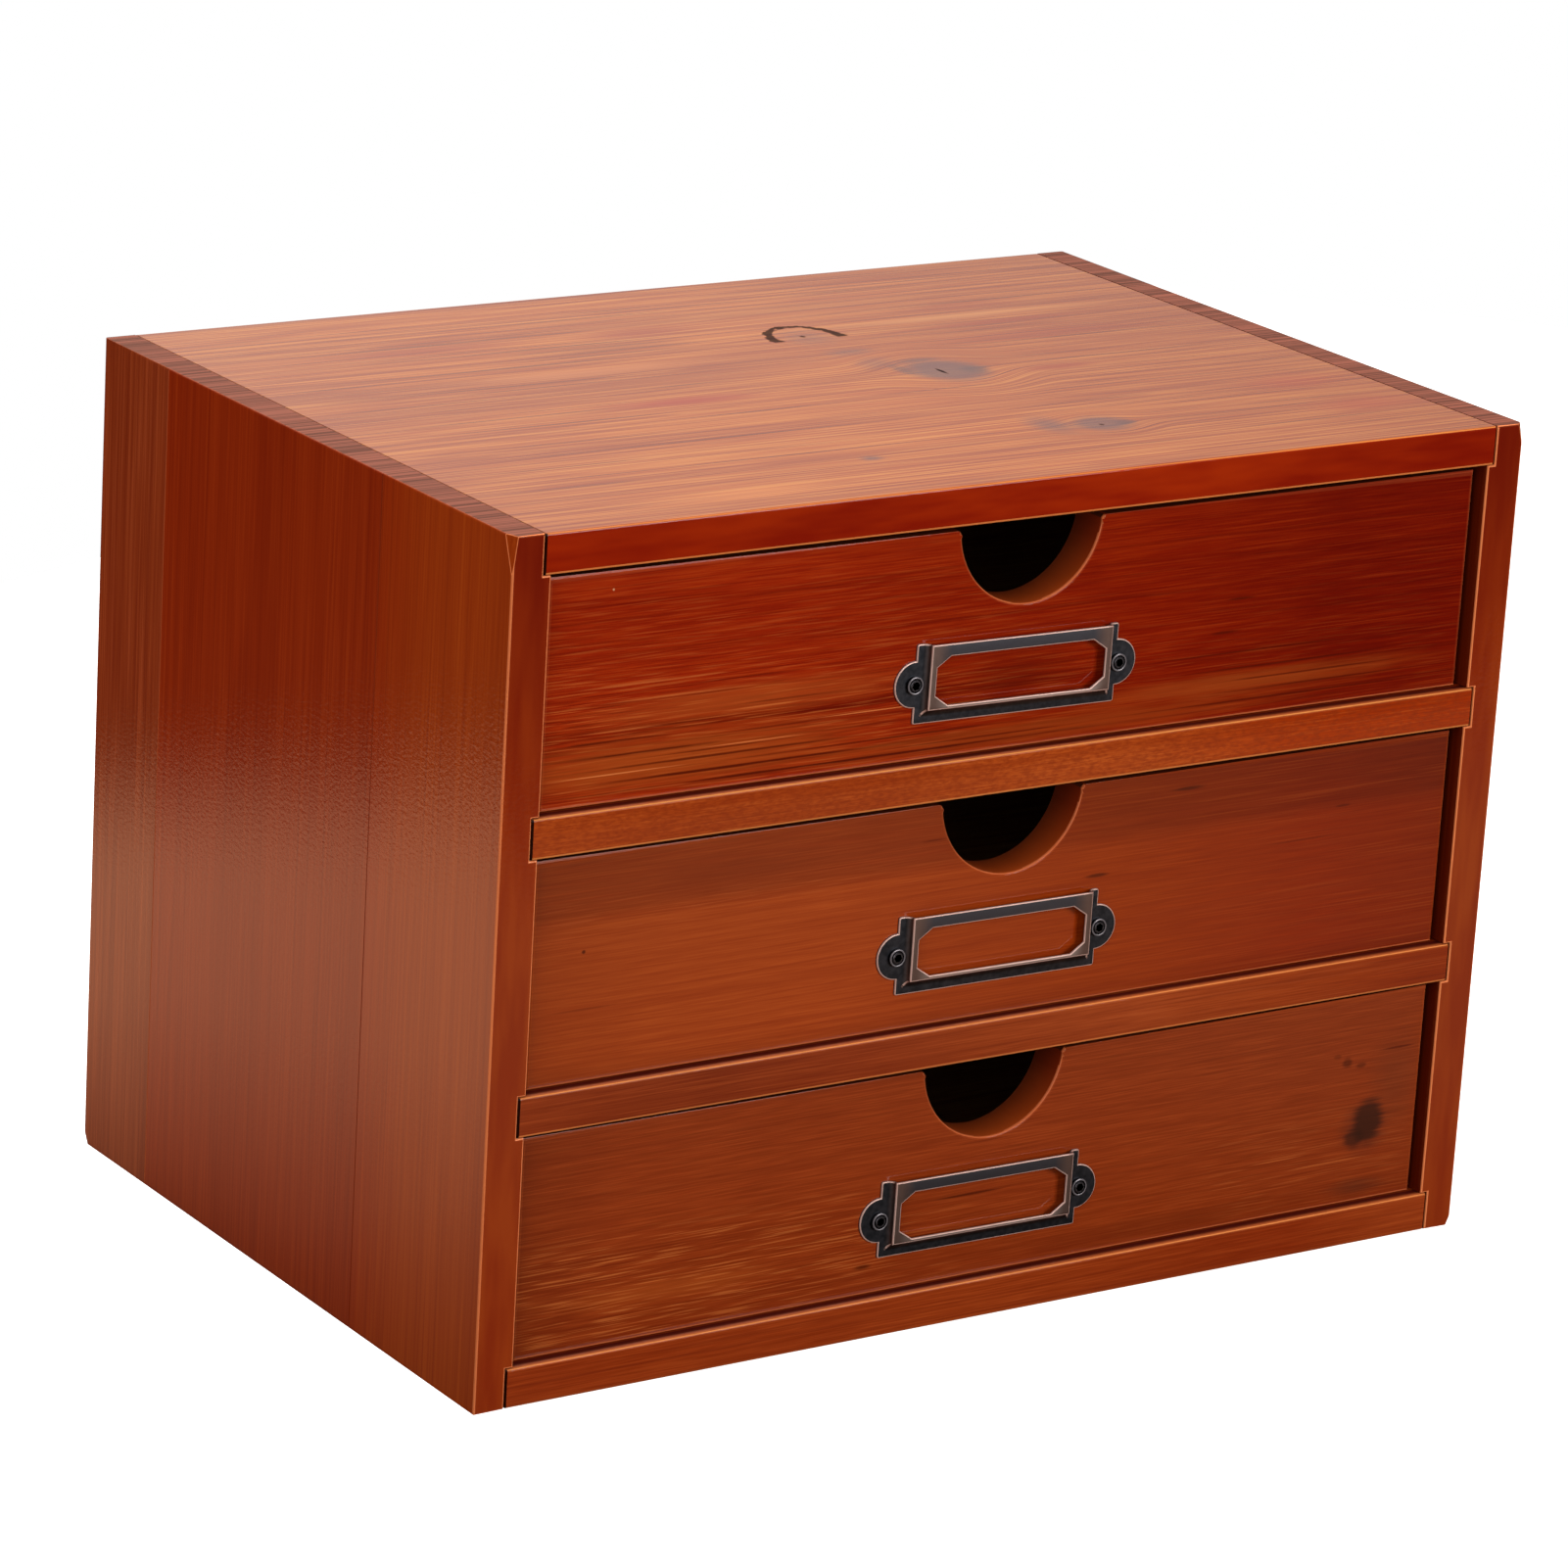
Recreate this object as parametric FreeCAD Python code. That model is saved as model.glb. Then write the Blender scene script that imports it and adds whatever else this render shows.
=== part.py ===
import FreeCAD, Part
import math
import os

os.makedirs("parts", exist_ok=True)

# A desktop chest of three shallow drawers, in stained and varnished fir.
# Millimetres, +Z up, drawers opening towards -Y. The origin lies under the
# middle of the carcass, on the surface that it stands on.

# Carcass
cabinet_width = 352.0
cabinet_depth = 239.0
cabinet_height = 257.0
side_thickness = 12.5
board_thickness = 12.0
front_stave_width = 71.5
rear_stave_width = 40.5
housing_depth = 2.5
housing_end_gap = 0.3
housing_top_gap = 0.3
arris_radius = 0.8
foot_arris_radius = 1.5
housing_arris_radius = 0.5
seam_chamfer = 0.3

# Plywood back panel, in a rebate that runs round the back of the carcass
panel_thickness = 3.0
panel_lap = 6.0
panel_edge_gap = 0.3
panel_set_in = 0.6

# Drawers, as wide and high as the bays between the boards allow
drawer_names = ["bottom", "middle", "top"]
drawer_recess = 4.0
drawer_side_gap = 2.2
drawer_top_gap = 2.4
drawer_running_gap = 0.3
drawer_rear_gap = 0.4
front_thickness = 13.0
front_lip_thickness = 6.0
drawer_side_thickness = 8.0
drawer_side_drop = 7.0
drawer_back_thickness = 8.0
drawer_arris_radius = 0.5
bottom_thickness = 3.0
bottom_height = 5.0
groove_depth = 4.0
groove_top_gap = 0.2
groove_end_gap = 0.3

# Half-moon finger notch in the top edge of a drawer front
notch_radius = 24.6
notch_centre_above_edge = 0.8
notch_corner_radius = 1.5
notch_inner_arris_radius = 0.5

# Stamped label holder, screwed to the drawer front a little left of its middle.
# Each one is a little out of level, by some tenths of a degree clockwise as seen
# from the front.
holder_shift = -2.6
holder_height_above_edge = 22.5
holder_tilt_degrees = {"bottom": 0.5, "middle": 0.3, "top": 0.8}
holder_width = 70.8
holder_height = 23.8
holder_ear_radius = 7.0
holder_sheet = 0.7
holder_rise = 3.1
holder_flange = 2.2
holder_cove = 2.0
holder_cove_hollow = 0.5
window_side_band = 1.6
window_top_band = 3.7
window_bottom_band = 1.3
window_corner_run = 4.6
window_corner_rise = 3.1

# Round-head screws of the label holders
screw_shank_radius = 1.0
screw_length = 10.0
screw_tip_length = 2.0
screw_head_radius = 2.5
screw_head_height = 1.7
screw_head_round = 1.1
screw_socket_sides = 6
screw_socket_across = 2.4
screw_socket_depth = 1.0
screw_hole_gap = 0.15
screw_offset = 0.4

# Brads, thin nails with a flat head
brad_radius = 0.6
brad_length = 16.0
brad_head_radius = 1.2
brad_head_thickness = 0.5
brad_hole_gap = 0.05
bottom_brad_length = 12.0
panel_side_brad_count = 4
panel_board_brad_count = 3
drawer_joint_brad_count = 2
bottom_brad_count = 3

# Length by which a cutter runs past the face it cuts through, and the
# distance under which two places count as one
overrun = 1.0
place_tolerance = 0.001

# Worked out from the sizes above
half_width = cabinet_width / 2
half_depth = cabinet_depth / 2
inner_half_width = half_width - side_thickness
board_half_length = inner_half_width + housing_depth - housing_end_gap
bay_count = len(drawer_names)
board_levels = bay_count + 1
bay_height = (cabinet_height - board_levels * board_thickness) / bay_count
level_pitch = bay_height + board_thickness
top_board_underside = cabinet_height - board_thickness
panel_back_face = half_depth - panel_set_in
panel_front_face = panel_back_face - panel_thickness
panel_half_width = inner_half_width + panel_lap - panel_edge_gap
panel_low = board_thickness - panel_lap + panel_edge_gap
panel_high = top_board_underside + panel_lap - panel_edge_gap

drawer_half_width = inner_half_width - drawer_side_gap
drawer_inner_half_width = drawer_half_width - drawer_side_thickness
front_height = bay_height - drawer_running_gap - drawer_top_gap
drawer_side_height = front_height - drawer_side_drop
front_face = -half_depth + drawer_recess
front_inner_face = front_face + front_thickness
lip_inner_face = front_face + front_lip_thickness
drawer_rear_face = panel_front_face - drawer_rear_gap
drawer_back_inner_face = drawer_rear_face - drawer_back_thickness

X_AXIS = FreeCAD.Vector(1, 0, 0)
Y_AXIS = FreeCAD.Vector(0, 1, 0)
Z_AXIS = FreeCAD.Vector(0, 0, 1)


def block(x_a, x_b, y_a, y_b, z_a, z_b):
    """Rectangular solid between two opposite corners."""
    low = FreeCAD.Vector(min(x_a, x_b), min(y_a, y_b), min(z_a, z_b))
    high = FreeCAD.Vector(max(x_a, x_b), max(y_a, y_b), max(z_a, z_b))
    size = high - low
    return Part.makeBox(size.x, size.y, size.z, low)


def cut_all(shape, cutters):
    """The shape less every cutter."""
    for cutter in cutters:
        shape = shape.cut(cutter)
    return shape


def edges_where(shape, test):
    """Edges whose bounding box passes the test."""
    return [edge for edge in shape.Edges if test(edge.BoundBox)]


def near(value, target):
    """True where two places are one."""
    return abs(value - target) < place_tolerance


def on_front_plane(place):
    """Test for edges that lie in the upright plane y = place."""
    return lambda box: near(box.YMin, place) and near(box.YMax, place)


def level_underside(level):
    """Height of the underside of the board at a level, 0 for the bottom board."""
    return level * level_pitch


def export(shape, node):
    """Write one node and report its size."""
    shape.exportStep("parts/" + node + ".step")
    box = shape.BoundBox
    size = "%.1f x %.1f x %.1f" % (box.XLength, box.YLength, box.ZLength)
    print("%-28s %2d solid(s)  %s  valid %s" % (node, len(shape.Solids), size, shape.isValid()))


def brad(head_point, direction, length, gap=0.0):
    """A nail whose head's outer face is at head_point, or with a gap the hole for it."""
    shank = Part.makeCylinder(brad_radius + gap, length + gap, head_point, direction)
    head = Part.makeCylinder(brad_head_radius + gap, brad_head_thickness, head_point, direction)
    return shank.fuse(head)


def spread(low, high, count):
    """Places at the middles of equal shares of a length."""
    step = (high - low) / count
    return [low + step * (index + 0.5) for index in range(count)]


def panel_brad_heads():
    """Head points of the brads round the back panel and along both shelves."""
    y = panel_back_face + brad_head_thickness
    side_x = inner_half_width + panel_lap / 2
    points = []
    for hand in (-1, 1):
        for z in spread(board_thickness, top_board_underside, panel_side_brad_count):
            points.append(FreeCAD.Vector(hand * side_x, y, z))
    rows = [level_underside(level) + board_thickness / 2 for level in range(1, bay_count)]
    rows.append(board_thickness - panel_lap / 2)
    rows.append(top_board_underside + panel_lap / 2)
    for z in rows:
        for x in spread(-inner_half_width, inner_half_width, panel_board_brad_count):
            points.append(FreeCAD.Vector(x, y, z))
    return points


def panel_brad_shanks(gap):
    """Shanks of the back panel's brads as cutters, wider by a gap."""
    tips = []
    for point in panel_brad_heads():
        radius = brad_radius + gap
        length = brad_length + gap
        tips.append(Part.makeCylinder(radius, length, point, -Y_AXIS))
    return tips


def housing(hand, level):
    """Space cut in a side for the end of the board at a level."""
    low = level_underside(level)
    high = low + board_thickness + housing_top_gap
    if level == 0:
        low = low - overrun
    if level == bay_count:
        high = high + overrun
    floor_x = hand * (inner_half_width + housing_depth)
    mouth_x = hand * (inner_half_width - overrun)
    return block(mouth_x, floor_x, -half_depth - overrun, half_depth + overrun, low, high)


def panel_rebate_in_side(hand):
    """Rebate for the back panel in the rear inner edge of a side."""
    mouth_x = hand * (inner_half_width - overrun)
    floor_x = hand * (inner_half_width + panel_lap)
    low = board_thickness - panel_lap
    high = top_board_underside + panel_lap
    return block(mouth_x, floor_x, panel_front_face, half_depth + overrun, low, high)


def side_stave(hand, y_front, y_rear):
    """One upright stave of a side, with the board housings and the back rebate."""
    outer_x = hand * half_width
    stave = block(hand * inner_half_width, outer_x, y_front, y_rear, 0, cabinet_height)
    cutters = [housing(hand, level) for level in range(board_levels)]
    if near(y_rear, half_depth):
        cutters.append(panel_rebate_in_side(hand))
        cutters.extend(panel_brad_shanks(brad_hole_gap))
    stave = cut_all(stave, cutters)
    return ease_stave(stave, outer_x, y_front, y_rear)


def ease_stave(stave, outer_x, y_front, y_rear):
    """Round the outer arrises and break the edges at the glue seams."""

    def on_outer_face(box):
        return near(box.XMin, outer_x) and near(box.XMax, outer_x)

    def outer_top(box):
        return on_outer_face(box) and near(box.ZMin, cabinet_height)

    def outer_foot(box):
        return on_outer_face(box) and near(box.ZMax, 0)

    def outer_upright(box):
        return on_outer_face(box) and near(box.YMin, box.YMax)

    def rear_upright(box):
        return outer_upright(box) and near(box.YMin, half_depth)

    def seam_upright(box):
        at_an_end = near(box.YMin, -half_depth) or near(box.YMin, half_depth)
        return outer_upright(box) and not at_an_end

    stave = stave.makeFillet(arris_radius, edges_where(stave, outer_top))
    stave = stave.makeFillet(foot_arris_radius, edges_where(stave, outer_foot))
    if near(y_front, -half_depth):
        stave = stave.makeFillet(housing_arris_radius, edges_where(stave, on_front_plane(y_front)))
    if near(y_rear, half_depth):
        stave = stave.makeFillet(arris_radius, edges_where(stave, rear_upright))
    return stave.makeChamfer(seam_chamfer, edges_where(stave, seam_upright))


def carcass_board(level):
    """The bottom board, a shelf or the top board, by its level."""
    low = level_underside(level)
    high = low + board_thickness
    rear = panel_front_face
    if level in (0, bay_count):
        rear = half_depth
    board = block(-board_half_length, board_half_length, -half_depth, rear, low, high)
    if level == 0:
        rebate = (board_thickness - panel_lap, board_thickness + overrun)
        board = board.cut(panel_rebate_along(rebate))
    if level == bay_count:
        rebate = (top_board_underside - overrun, top_board_underside + panel_lap)
        board = board.cut(panel_rebate_along(rebate))
    board = cut_all(board, panel_brad_shanks(brad_hole_gap))
    return board.makeFillet(arris_radius, edges_where(board, on_front_plane(-half_depth)))


def panel_rebate_along(heights):
    """Rebate for the back panel along the rear of the top or bottom board."""
    low, high = heights
    return block(-half_width, half_width, panel_front_face, half_depth + overrun, low, high)


def back_panel():
    """The plywood panel, with a hole for each brad."""
    x = panel_half_width
    panel = block(-x, x, panel_front_face, panel_back_face, panel_low, panel_high)
    return cut_all(panel, panel_brad_shanks(brad_hole_gap))


def back_panel_brads():
    """All brads of the back panel, as one group."""
    return Part.makeCompound([brad(point, -Y_AXIS, brad_length) for point in panel_brad_heads()])


def corner_brad_heads(hand):
    """Head points of the brads in one side of a drawer, in its front and rear joints."""
    x = hand * drawer_half_width
    front_y = (lip_inner_face + front_inner_face) / 2
    rear_y = (drawer_back_inner_face + drawer_rear_face) / 2
    low = bottom_height + bottom_thickness + groove_top_gap
    heights = spread(low, drawer_side_height, drawer_joint_brad_count)
    return [FreeCAD.Vector(x, y, z) for y in (front_y, rear_y) for z in heights]


def bottom_brad_heads():
    """Head points of the brads that go up through the bottom into the back."""
    y = (drawer_back_inner_face + drawer_rear_face) / 2
    places = spread(-drawer_inner_half_width, drawer_inner_half_width, bottom_brad_count)
    return [FreeCAD.Vector(x, y, bottom_height - brad_head_thickness) for x in places]


def drawer_brads(gap=0.0):
    """All brads of one drawer, or with a gap their holes."""
    nails = []
    for hand in (-1, 1):
        for point in corner_brad_heads(hand):
            nails.append(brad(point, -hand * X_AXIS, brad_length, gap))
    for point in bottom_brad_heads():
        nails.append(brad(point, Z_AXIS, bottom_brad_length, gap))
    return nails


def on_drawer_front(shape, tilt):
    """Put a piece of the label holder on a drawer's front, turned by its tilt."""
    place = FreeCAD.Vector(holder_shift, front_face, holder_height_above_edge)
    shape.rotate(FreeCAD.Vector(0, 0, 0), Y_AXIS, tilt)
    shape.translate(place)
    return shape


def screw_reaches():
    """How far to the left and right of the holder's middle its two screws go in."""
    reach = holder_width / 2 + screw_offset
    return [-reach, reach]


def pilot_holes(tilt):
    """Holes in the drawer front for the label holder's screws."""
    depth = screw_length - holder_sheet + overrun
    holes = []
    for x in screw_reaches():
        mouth = FreeCAD.Vector(x, -overrun, 0)
        hole = Part.makeCylinder(screw_shank_radius, depth, mouth, Y_AXIS)
        holes.append(on_drawer_front(hole, tilt))
    return holes


def drawer_front(tilt):
    """Drawer front with its finger notch, end rabbets, bottom groove and pilot holes."""
    half = drawer_half_width
    front = block(-half, half, front_face, front_inner_face, 0, front_height)
    notch_level = front_height + notch_centre_above_edge
    notch_half_width = math.sqrt(notch_radius ** 2 - notch_centre_above_edge ** 2)
    notch_centre = FreeCAD.Vector(0, front_face - overrun, notch_level)
    notch = Part.makeCylinder(notch_radius, front_thickness + 2 * overrun, notch_centre, Y_AXIS)
    front = front.cut(notch)

    def notch_corner(box):
        across = near(box.XMin, box.XMax) and near(abs(box.XMin), notch_half_width)
        return across and near(box.ZMin, front_height) and near(box.ZMax, front_height)

    def notch_inner_rim(box):
        in_plane = near(box.YMin, front_inner_face) and near(box.YMax, front_inner_face)
        return in_plane and box.ZLength > notch_inner_arris_radius and abs(box.Center.x) < half / 2

    front = front.makeFillet(notch_corner_radius, edges_where(front, notch_corner))
    front = front.makeFillet(notch_inner_arris_radius, edges_where(front, notch_inner_rim))
    mouth_y = front_inner_face + overrun
    for hand in (-1, 1):
        inner_x = hand * drawer_inner_half_width
        outer_x = hand * (half + overrun)
        high = front_height + overrun
        front = front.cut(block(inner_x, outer_x, lip_inner_face, mouth_y, -overrun, high))
    front = front.makeFillet(arris_radius, edges_where(front, on_front_plane(front_face)))
    groove_top = bottom_height + bottom_thickness + groove_top_gap
    groove_floor = front_inner_face - groove_depth
    front = front.cut(block(-half, half, groove_floor, mouth_y, bottom_height, groove_top))
    front = cut_all(front, pilot_holes(tilt))
    return cut_all(front, drawer_brads(brad_hole_gap))


def drawer_side(hand):
    """One side of a drawer, grooved for the bottom."""
    outer_x = hand * drawer_half_width
    inner_x = hand * drawer_inner_half_width
    side = block(inner_x, outer_x, lip_inner_face, drawer_rear_face, 0, drawer_side_height)

    def top_arris(box):
        return near(box.ZMin, drawer_side_height) and near(box.ZMax, drawer_side_height)

    side = side.makeFillet(drawer_arris_radius, edges_where(side, top_arris))
    groove_floor_x = hand * (drawer_inner_half_width + groove_depth)
    mouth_x = hand * (drawer_inner_half_width - overrun)
    groove_top = bottom_height + bottom_thickness + groove_top_gap
    y_low = lip_inner_face - overrun
    y_high = drawer_rear_face + overrun
    groove = block(mouth_x, groove_floor_x, y_low, y_high, bottom_height, groove_top)
    return cut_all(side.cut(groove), drawer_brads(brad_hole_gap))


def drawer_back():
    """The back of a drawer, standing on its bottom."""
    x = drawer_inner_half_width
    low = bottom_height + bottom_thickness
    back = block(-x, x, drawer_back_inner_face, drawer_rear_face, low, drawer_side_height)

    def top_arris(box):
        return near(box.ZMin, drawer_side_height) and box.XLength > x

    back = back.makeFillet(drawer_arris_radius, edges_where(back, top_arris))
    return cut_all(back, drawer_brads(brad_hole_gap))


def drawer_bottom():
    """The plywood bottom, held in the grooves and running under the back."""
    x = drawer_inner_half_width + groove_depth - groove_end_gap
    y_front = front_inner_face - groove_depth + groove_end_gap
    high = bottom_height + bottom_thickness
    bottom = block(-x, x, y_front, drawer_rear_face, bottom_height, high)
    return cut_all(bottom, drawer_brads(brad_hole_gap))


def straight(start, end):
    """A straight edge between two points."""
    return Part.LineSegment(start, end).toShape()


def cove(foot, rim):
    """Hollow arc from a foot on the flange up to the rim of the raised field."""
    below_rim = FreeCAD.Vector(rim.x, foot.y, rim.z)
    above_foot = FreeCAD.Vector(foot.x, rim.y, foot.z)
    inwards = (below_rim - above_foot).normalize()
    middle = (foot + rim) * 0.5 + inwards * holder_cove_hollow
    return Part.Arc(foot, middle, rim).toShape()


def ridge_from_side_to_side(foot_x, rim_x, length):
    """Upright bar with a cove along each side, as long as the holder is high."""
    low = -length / 2

    def point(x, y):
        return FreeCAD.Vector(x, y, low)

    edges = [
        straight(point(-foot_x, 0), point(-foot_x, -holder_sheet)),
        cove(point(-foot_x, -holder_sheet), point(-rim_x, -holder_rise)),
        straight(point(-rim_x, -holder_rise), point(rim_x, -holder_rise)),
        cove(point(foot_x, -holder_sheet), point(rim_x, -holder_rise)),
        straight(point(foot_x, -holder_sheet), point(foot_x, 0)),
        straight(point(foot_x, 0), point(-foot_x, 0)),
    ]
    return Part.Face(Part.Wire(Part.__sortEdges__(edges))).extrude(length * Z_AXIS)


def ridge_from_foot_to_top(foot_z, rim_z, top_z, length):
    """Level bar with a cove along its lower side, as long as the holder is wide."""
    left = -length / 2

    def point(z, y):
        return FreeCAD.Vector(left, y, z)

    edges = [
        straight(point(foot_z, 0), point(foot_z, -holder_sheet)),
        cove(point(foot_z, -holder_sheet), point(rim_z, -holder_rise)),
        straight(point(rim_z, -holder_rise), point(top_z, -holder_rise)),
        straight(point(top_z, -holder_rise), point(top_z, 0)),
        straight(point(top_z, 0), point(foot_z, 0)),
    ]
    return Part.Face(Part.Wire(Part.__sortEdges__(edges))).extrude(length * X_AXIS)


def holder_window(rim_x, rim_low, rim_high):
    """Cutter for the eight-cornered window."""
    x = rim_x - window_side_band
    low = rim_low + window_bottom_band
    high = rim_high - window_top_band
    run = window_corner_run
    rise = window_corner_rise
    corners = [
        (x - run, low), (x, low + rise), (x, high - rise), (x - run, high),
        (run - x, high), (-x, high - rise), (-x, low + rise), (run - x, low),
    ]
    points = [FreeCAD.Vector(px, overrun, pz) for px, pz in corners]
    face = Part.Face(Part.makePolygon(points + [points[0]]))
    return face.extrude(-(holder_rise + 2 * overrun) * Y_AXIS)


def label_holder():
    """The stamped frame, its back on y = 0 and its middle at the origin."""
    half_w = holder_width / 2
    half_h = holder_height / 2
    plate = block(-half_w, half_w, 0, -holder_sheet, -half_h, half_h)
    for hand in (-1, 1):
        centre = FreeCAD.Vector(hand * half_w, 0, 0)
        plate = plate.fuse(Part.makeCylinder(holder_ear_radius, holder_sheet, centre, -Y_AXIS))
    foot_x = half_w - holder_flange
    foot_z = -half_h + holder_flange
    rim_x = foot_x - holder_cove
    rim_z = foot_z + holder_cove
    upright = ridge_from_side_to_side(foot_x, rim_x, holder_height)
    level = ridge_from_foot_to_top(foot_z, rim_z, half_h, holder_width)
    slot_x = rim_x - holder_sheet
    slot_low = rim_z + holder_sheet
    slot_floor = holder_sheet - holder_rise
    slot = block(-slot_x, slot_x, overrun, slot_floor, slot_low, half_h + overrun)
    holder = plate.fuse(upright.common(level))
    holder = holder.cut(slot).cut(holder_window(rim_x, rim_z, half_h))
    for hand in (-1, 1):
        centre = FreeCAD.Vector(hand * (half_w + screw_offset), overrun, 0)
        radius = screw_shank_radius + screw_hole_gap
        holder = holder.cut(Part.makeCylinder(radius, holder_sheet + 2 * overrun, centre, -Y_AXIS))
    return holder.removeSplitter()


def label_screw():
    """One screw, its head seated on the plane y = 0 and its shank running towards +Y."""
    seat = FreeCAD.Vector(0, 0, 0)
    head = Part.makeCylinder(screw_head_radius, screw_head_height, seat, -Y_AXIS)

    def crown(box):
        return near(box.YMin, -screw_head_height) and near(box.YMax, -screw_head_height)

    head = head.makeFillet(screw_head_round, edges_where(head, crown))
    plain_length = screw_length - screw_tip_length
    shank = Part.makeCylinder(screw_shank_radius, plain_length, seat, Y_AXIS)
    tip_start = FreeCAD.Vector(0, plain_length, 0)
    tip = Part.makeCone(screw_shank_radius, 0, screw_tip_length, tip_start, Y_AXIS)
    corner_radius = screw_socket_across / 2 / math.cos(math.pi / screw_socket_sides)
    top = -screw_head_height - overrun
    corners = []
    for index in range(screw_socket_sides):
        angle = 2 * math.pi * index / screw_socket_sides
        x = corner_radius * math.cos(angle)
        z = corner_radius * math.sin(angle)
        corners.append(FreeCAD.Vector(x, top, z))
    face = Part.Face(Part.makePolygon(corners + [corners[0]]))
    socket = face.extrude((screw_socket_depth + overrun) * Y_AXIS)
    return head.fuse(shank).fuse(tip).cut(socket).removeSplitter()


def label_screws():
    """Both screws of one holder, their heads seated on its ears."""
    screws = []
    for x in screw_reaches():
        screw = label_screw()
        screw.translate(FreeCAD.Vector(x, -holder_sheet, 0))
        screws.append(screw)
    return Part.makeCompound(screws)


def build_carcass():
    """Write the nodes of the carcass."""
    seams = [-half_depth, front_stave_width - half_depth, half_depth - rear_stave_width, half_depth]
    for hand, hand_name in ((-1, "left"), (1, "right")):
        for index, place in enumerate(("front", "middle", "rear")):
            stave = side_stave(hand, seams[index], seams[index + 1])
            export(stave, "side_" + hand_name + "_stave_" + place)
    export(carcass_board(0), "bottom_board")
    export(carcass_board(1), "shelf_lower")
    export(carcass_board(2), "shelf_upper")
    export(carcass_board(bay_count), "top_board")
    export(back_panel(), "back_panel")
    export(back_panel_brads(), "back_panel_brads")


def build_drawers():
    """Write the nodes of every drawer, each modelled at height 0 and lifted into its bay."""
    for bay, drawer_name in enumerate(drawer_names):
        tilt = holder_tilt_degrees[drawer_name]
        lift = level_underside(bay) + board_thickness + drawer_running_gap
        pieces = {
            "front": drawer_front(tilt),
            "side_left": drawer_side(-1),
            "side_right": drawer_side(1),
            "back": drawer_back(),
            "bottom": drawer_bottom(),
            "label_holder": on_drawer_front(label_holder(), tilt),
            "label_screws": on_drawer_front(label_screws(), tilt),
            "brads": Part.makeCompound(drawer_brads()),
        }
        for piece_name, shape in pieces.items():
            shape.translate(FreeCAD.Vector(0, 0, lift))
            export(shape, "drawer_" + drawer_name + "_" + piece_name)


build_carcass()
build_drawers()
print("bay height %.2f, drawer front height %.2f" % (bay_height, front_height))
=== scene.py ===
# %% [markdown]
# # A desktop chest of three drawers
# The object is a small chest of stained, varnished fir. Its three drawers have a half-moon
# notch for the finger and a stamped metal label holder. The construction is already modelled.
# This lesson gives each part its eased edges, its grain and its finish.
# Everything starts from the imported model, so no size is set twice: a board is modelled
# between the corners of the solid that it stands for.

import math

import bmesh
import bpy
from mathutils import Matrix, Vector


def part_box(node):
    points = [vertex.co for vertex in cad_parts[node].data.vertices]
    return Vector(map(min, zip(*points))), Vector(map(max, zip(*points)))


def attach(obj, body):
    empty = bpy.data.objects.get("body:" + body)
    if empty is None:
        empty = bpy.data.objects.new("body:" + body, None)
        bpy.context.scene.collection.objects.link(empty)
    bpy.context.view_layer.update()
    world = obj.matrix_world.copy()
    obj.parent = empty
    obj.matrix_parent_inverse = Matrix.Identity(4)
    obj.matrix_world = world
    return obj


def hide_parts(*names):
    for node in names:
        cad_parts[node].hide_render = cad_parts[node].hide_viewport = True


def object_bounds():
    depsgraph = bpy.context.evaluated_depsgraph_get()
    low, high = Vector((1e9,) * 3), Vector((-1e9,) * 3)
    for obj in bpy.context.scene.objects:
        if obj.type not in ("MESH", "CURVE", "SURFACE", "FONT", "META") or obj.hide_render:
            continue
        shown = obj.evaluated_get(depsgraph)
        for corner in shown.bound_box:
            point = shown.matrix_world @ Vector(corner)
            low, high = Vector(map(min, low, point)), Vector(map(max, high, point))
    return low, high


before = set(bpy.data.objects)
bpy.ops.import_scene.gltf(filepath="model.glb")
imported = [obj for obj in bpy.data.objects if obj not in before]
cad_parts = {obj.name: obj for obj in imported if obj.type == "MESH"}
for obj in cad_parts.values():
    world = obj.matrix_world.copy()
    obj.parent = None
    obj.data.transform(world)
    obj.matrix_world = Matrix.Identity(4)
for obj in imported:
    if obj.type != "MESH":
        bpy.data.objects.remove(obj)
cad_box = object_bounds()
MM = 0.001
DRAWERS = ("bottom", "middle", "top")
print("CAD box in mm:", [[round(value / MM, 1) for value in corner] for corner in cad_box])

# %% [markdown]
# ## Tools for modelling
# Each piece is shaped in edit mode. An operator acts on whatever is selected, so a piece is
# opened with nothing selected, and its faces or edges are then picked in code by where they
# lie. The test gets the lowest and highest corner of each one, in millimetres.

# %% Open, pick and close
TOUCH = 0.02
BISECT_TOUCH = 0.000002


def open_piece(piece, mode):
    """Open a piece in edit mode with nothing selected."""
    bpy.ops.object.select_all(action="DESELECT")
    bpy.context.view_layer.objects.active = piece
    piece.select_set(True)
    bpy.ops.object.mode_set(mode="EDIT")
    bpy.ops.mesh.select_mode(type=mode)
    bpy.ops.mesh.select_all(action="DESELECT")


def close_piece():
    """Back to object mode, with the normals pointing outwards."""
    bpy.ops.mesh.select_all(action="SELECT")
    bpy.ops.mesh.normals_make_consistent(inside=False)
    bpy.ops.object.mode_set(mode="OBJECT")


def pick(piece, kind, test):
    """Add the faces, edges or verts whose box in millimetres passes the test."""
    mesh = bmesh.from_edit_mesh(piece.data)
    count = 0
    for part in getattr(mesh, kind):
        places = [part.co] if kind == "verts" else [vert.co for vert in part.verts]
        low = Vector([min(place[axis] for place in places) / MM for axis in range(3)])
        high = Vector([max(place[axis] for place in places) / MM for axis in range(3)])
        if test(low, high):
            part.select_set(True)
            count += 1
    mesh.select_flush_mode()
    bmesh.update_edit_mesh(piece.data)
    return count


def at(value, target):
    """True where two places are the same, within a touch."""
    return abs(value - target) < TOUCH


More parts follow.
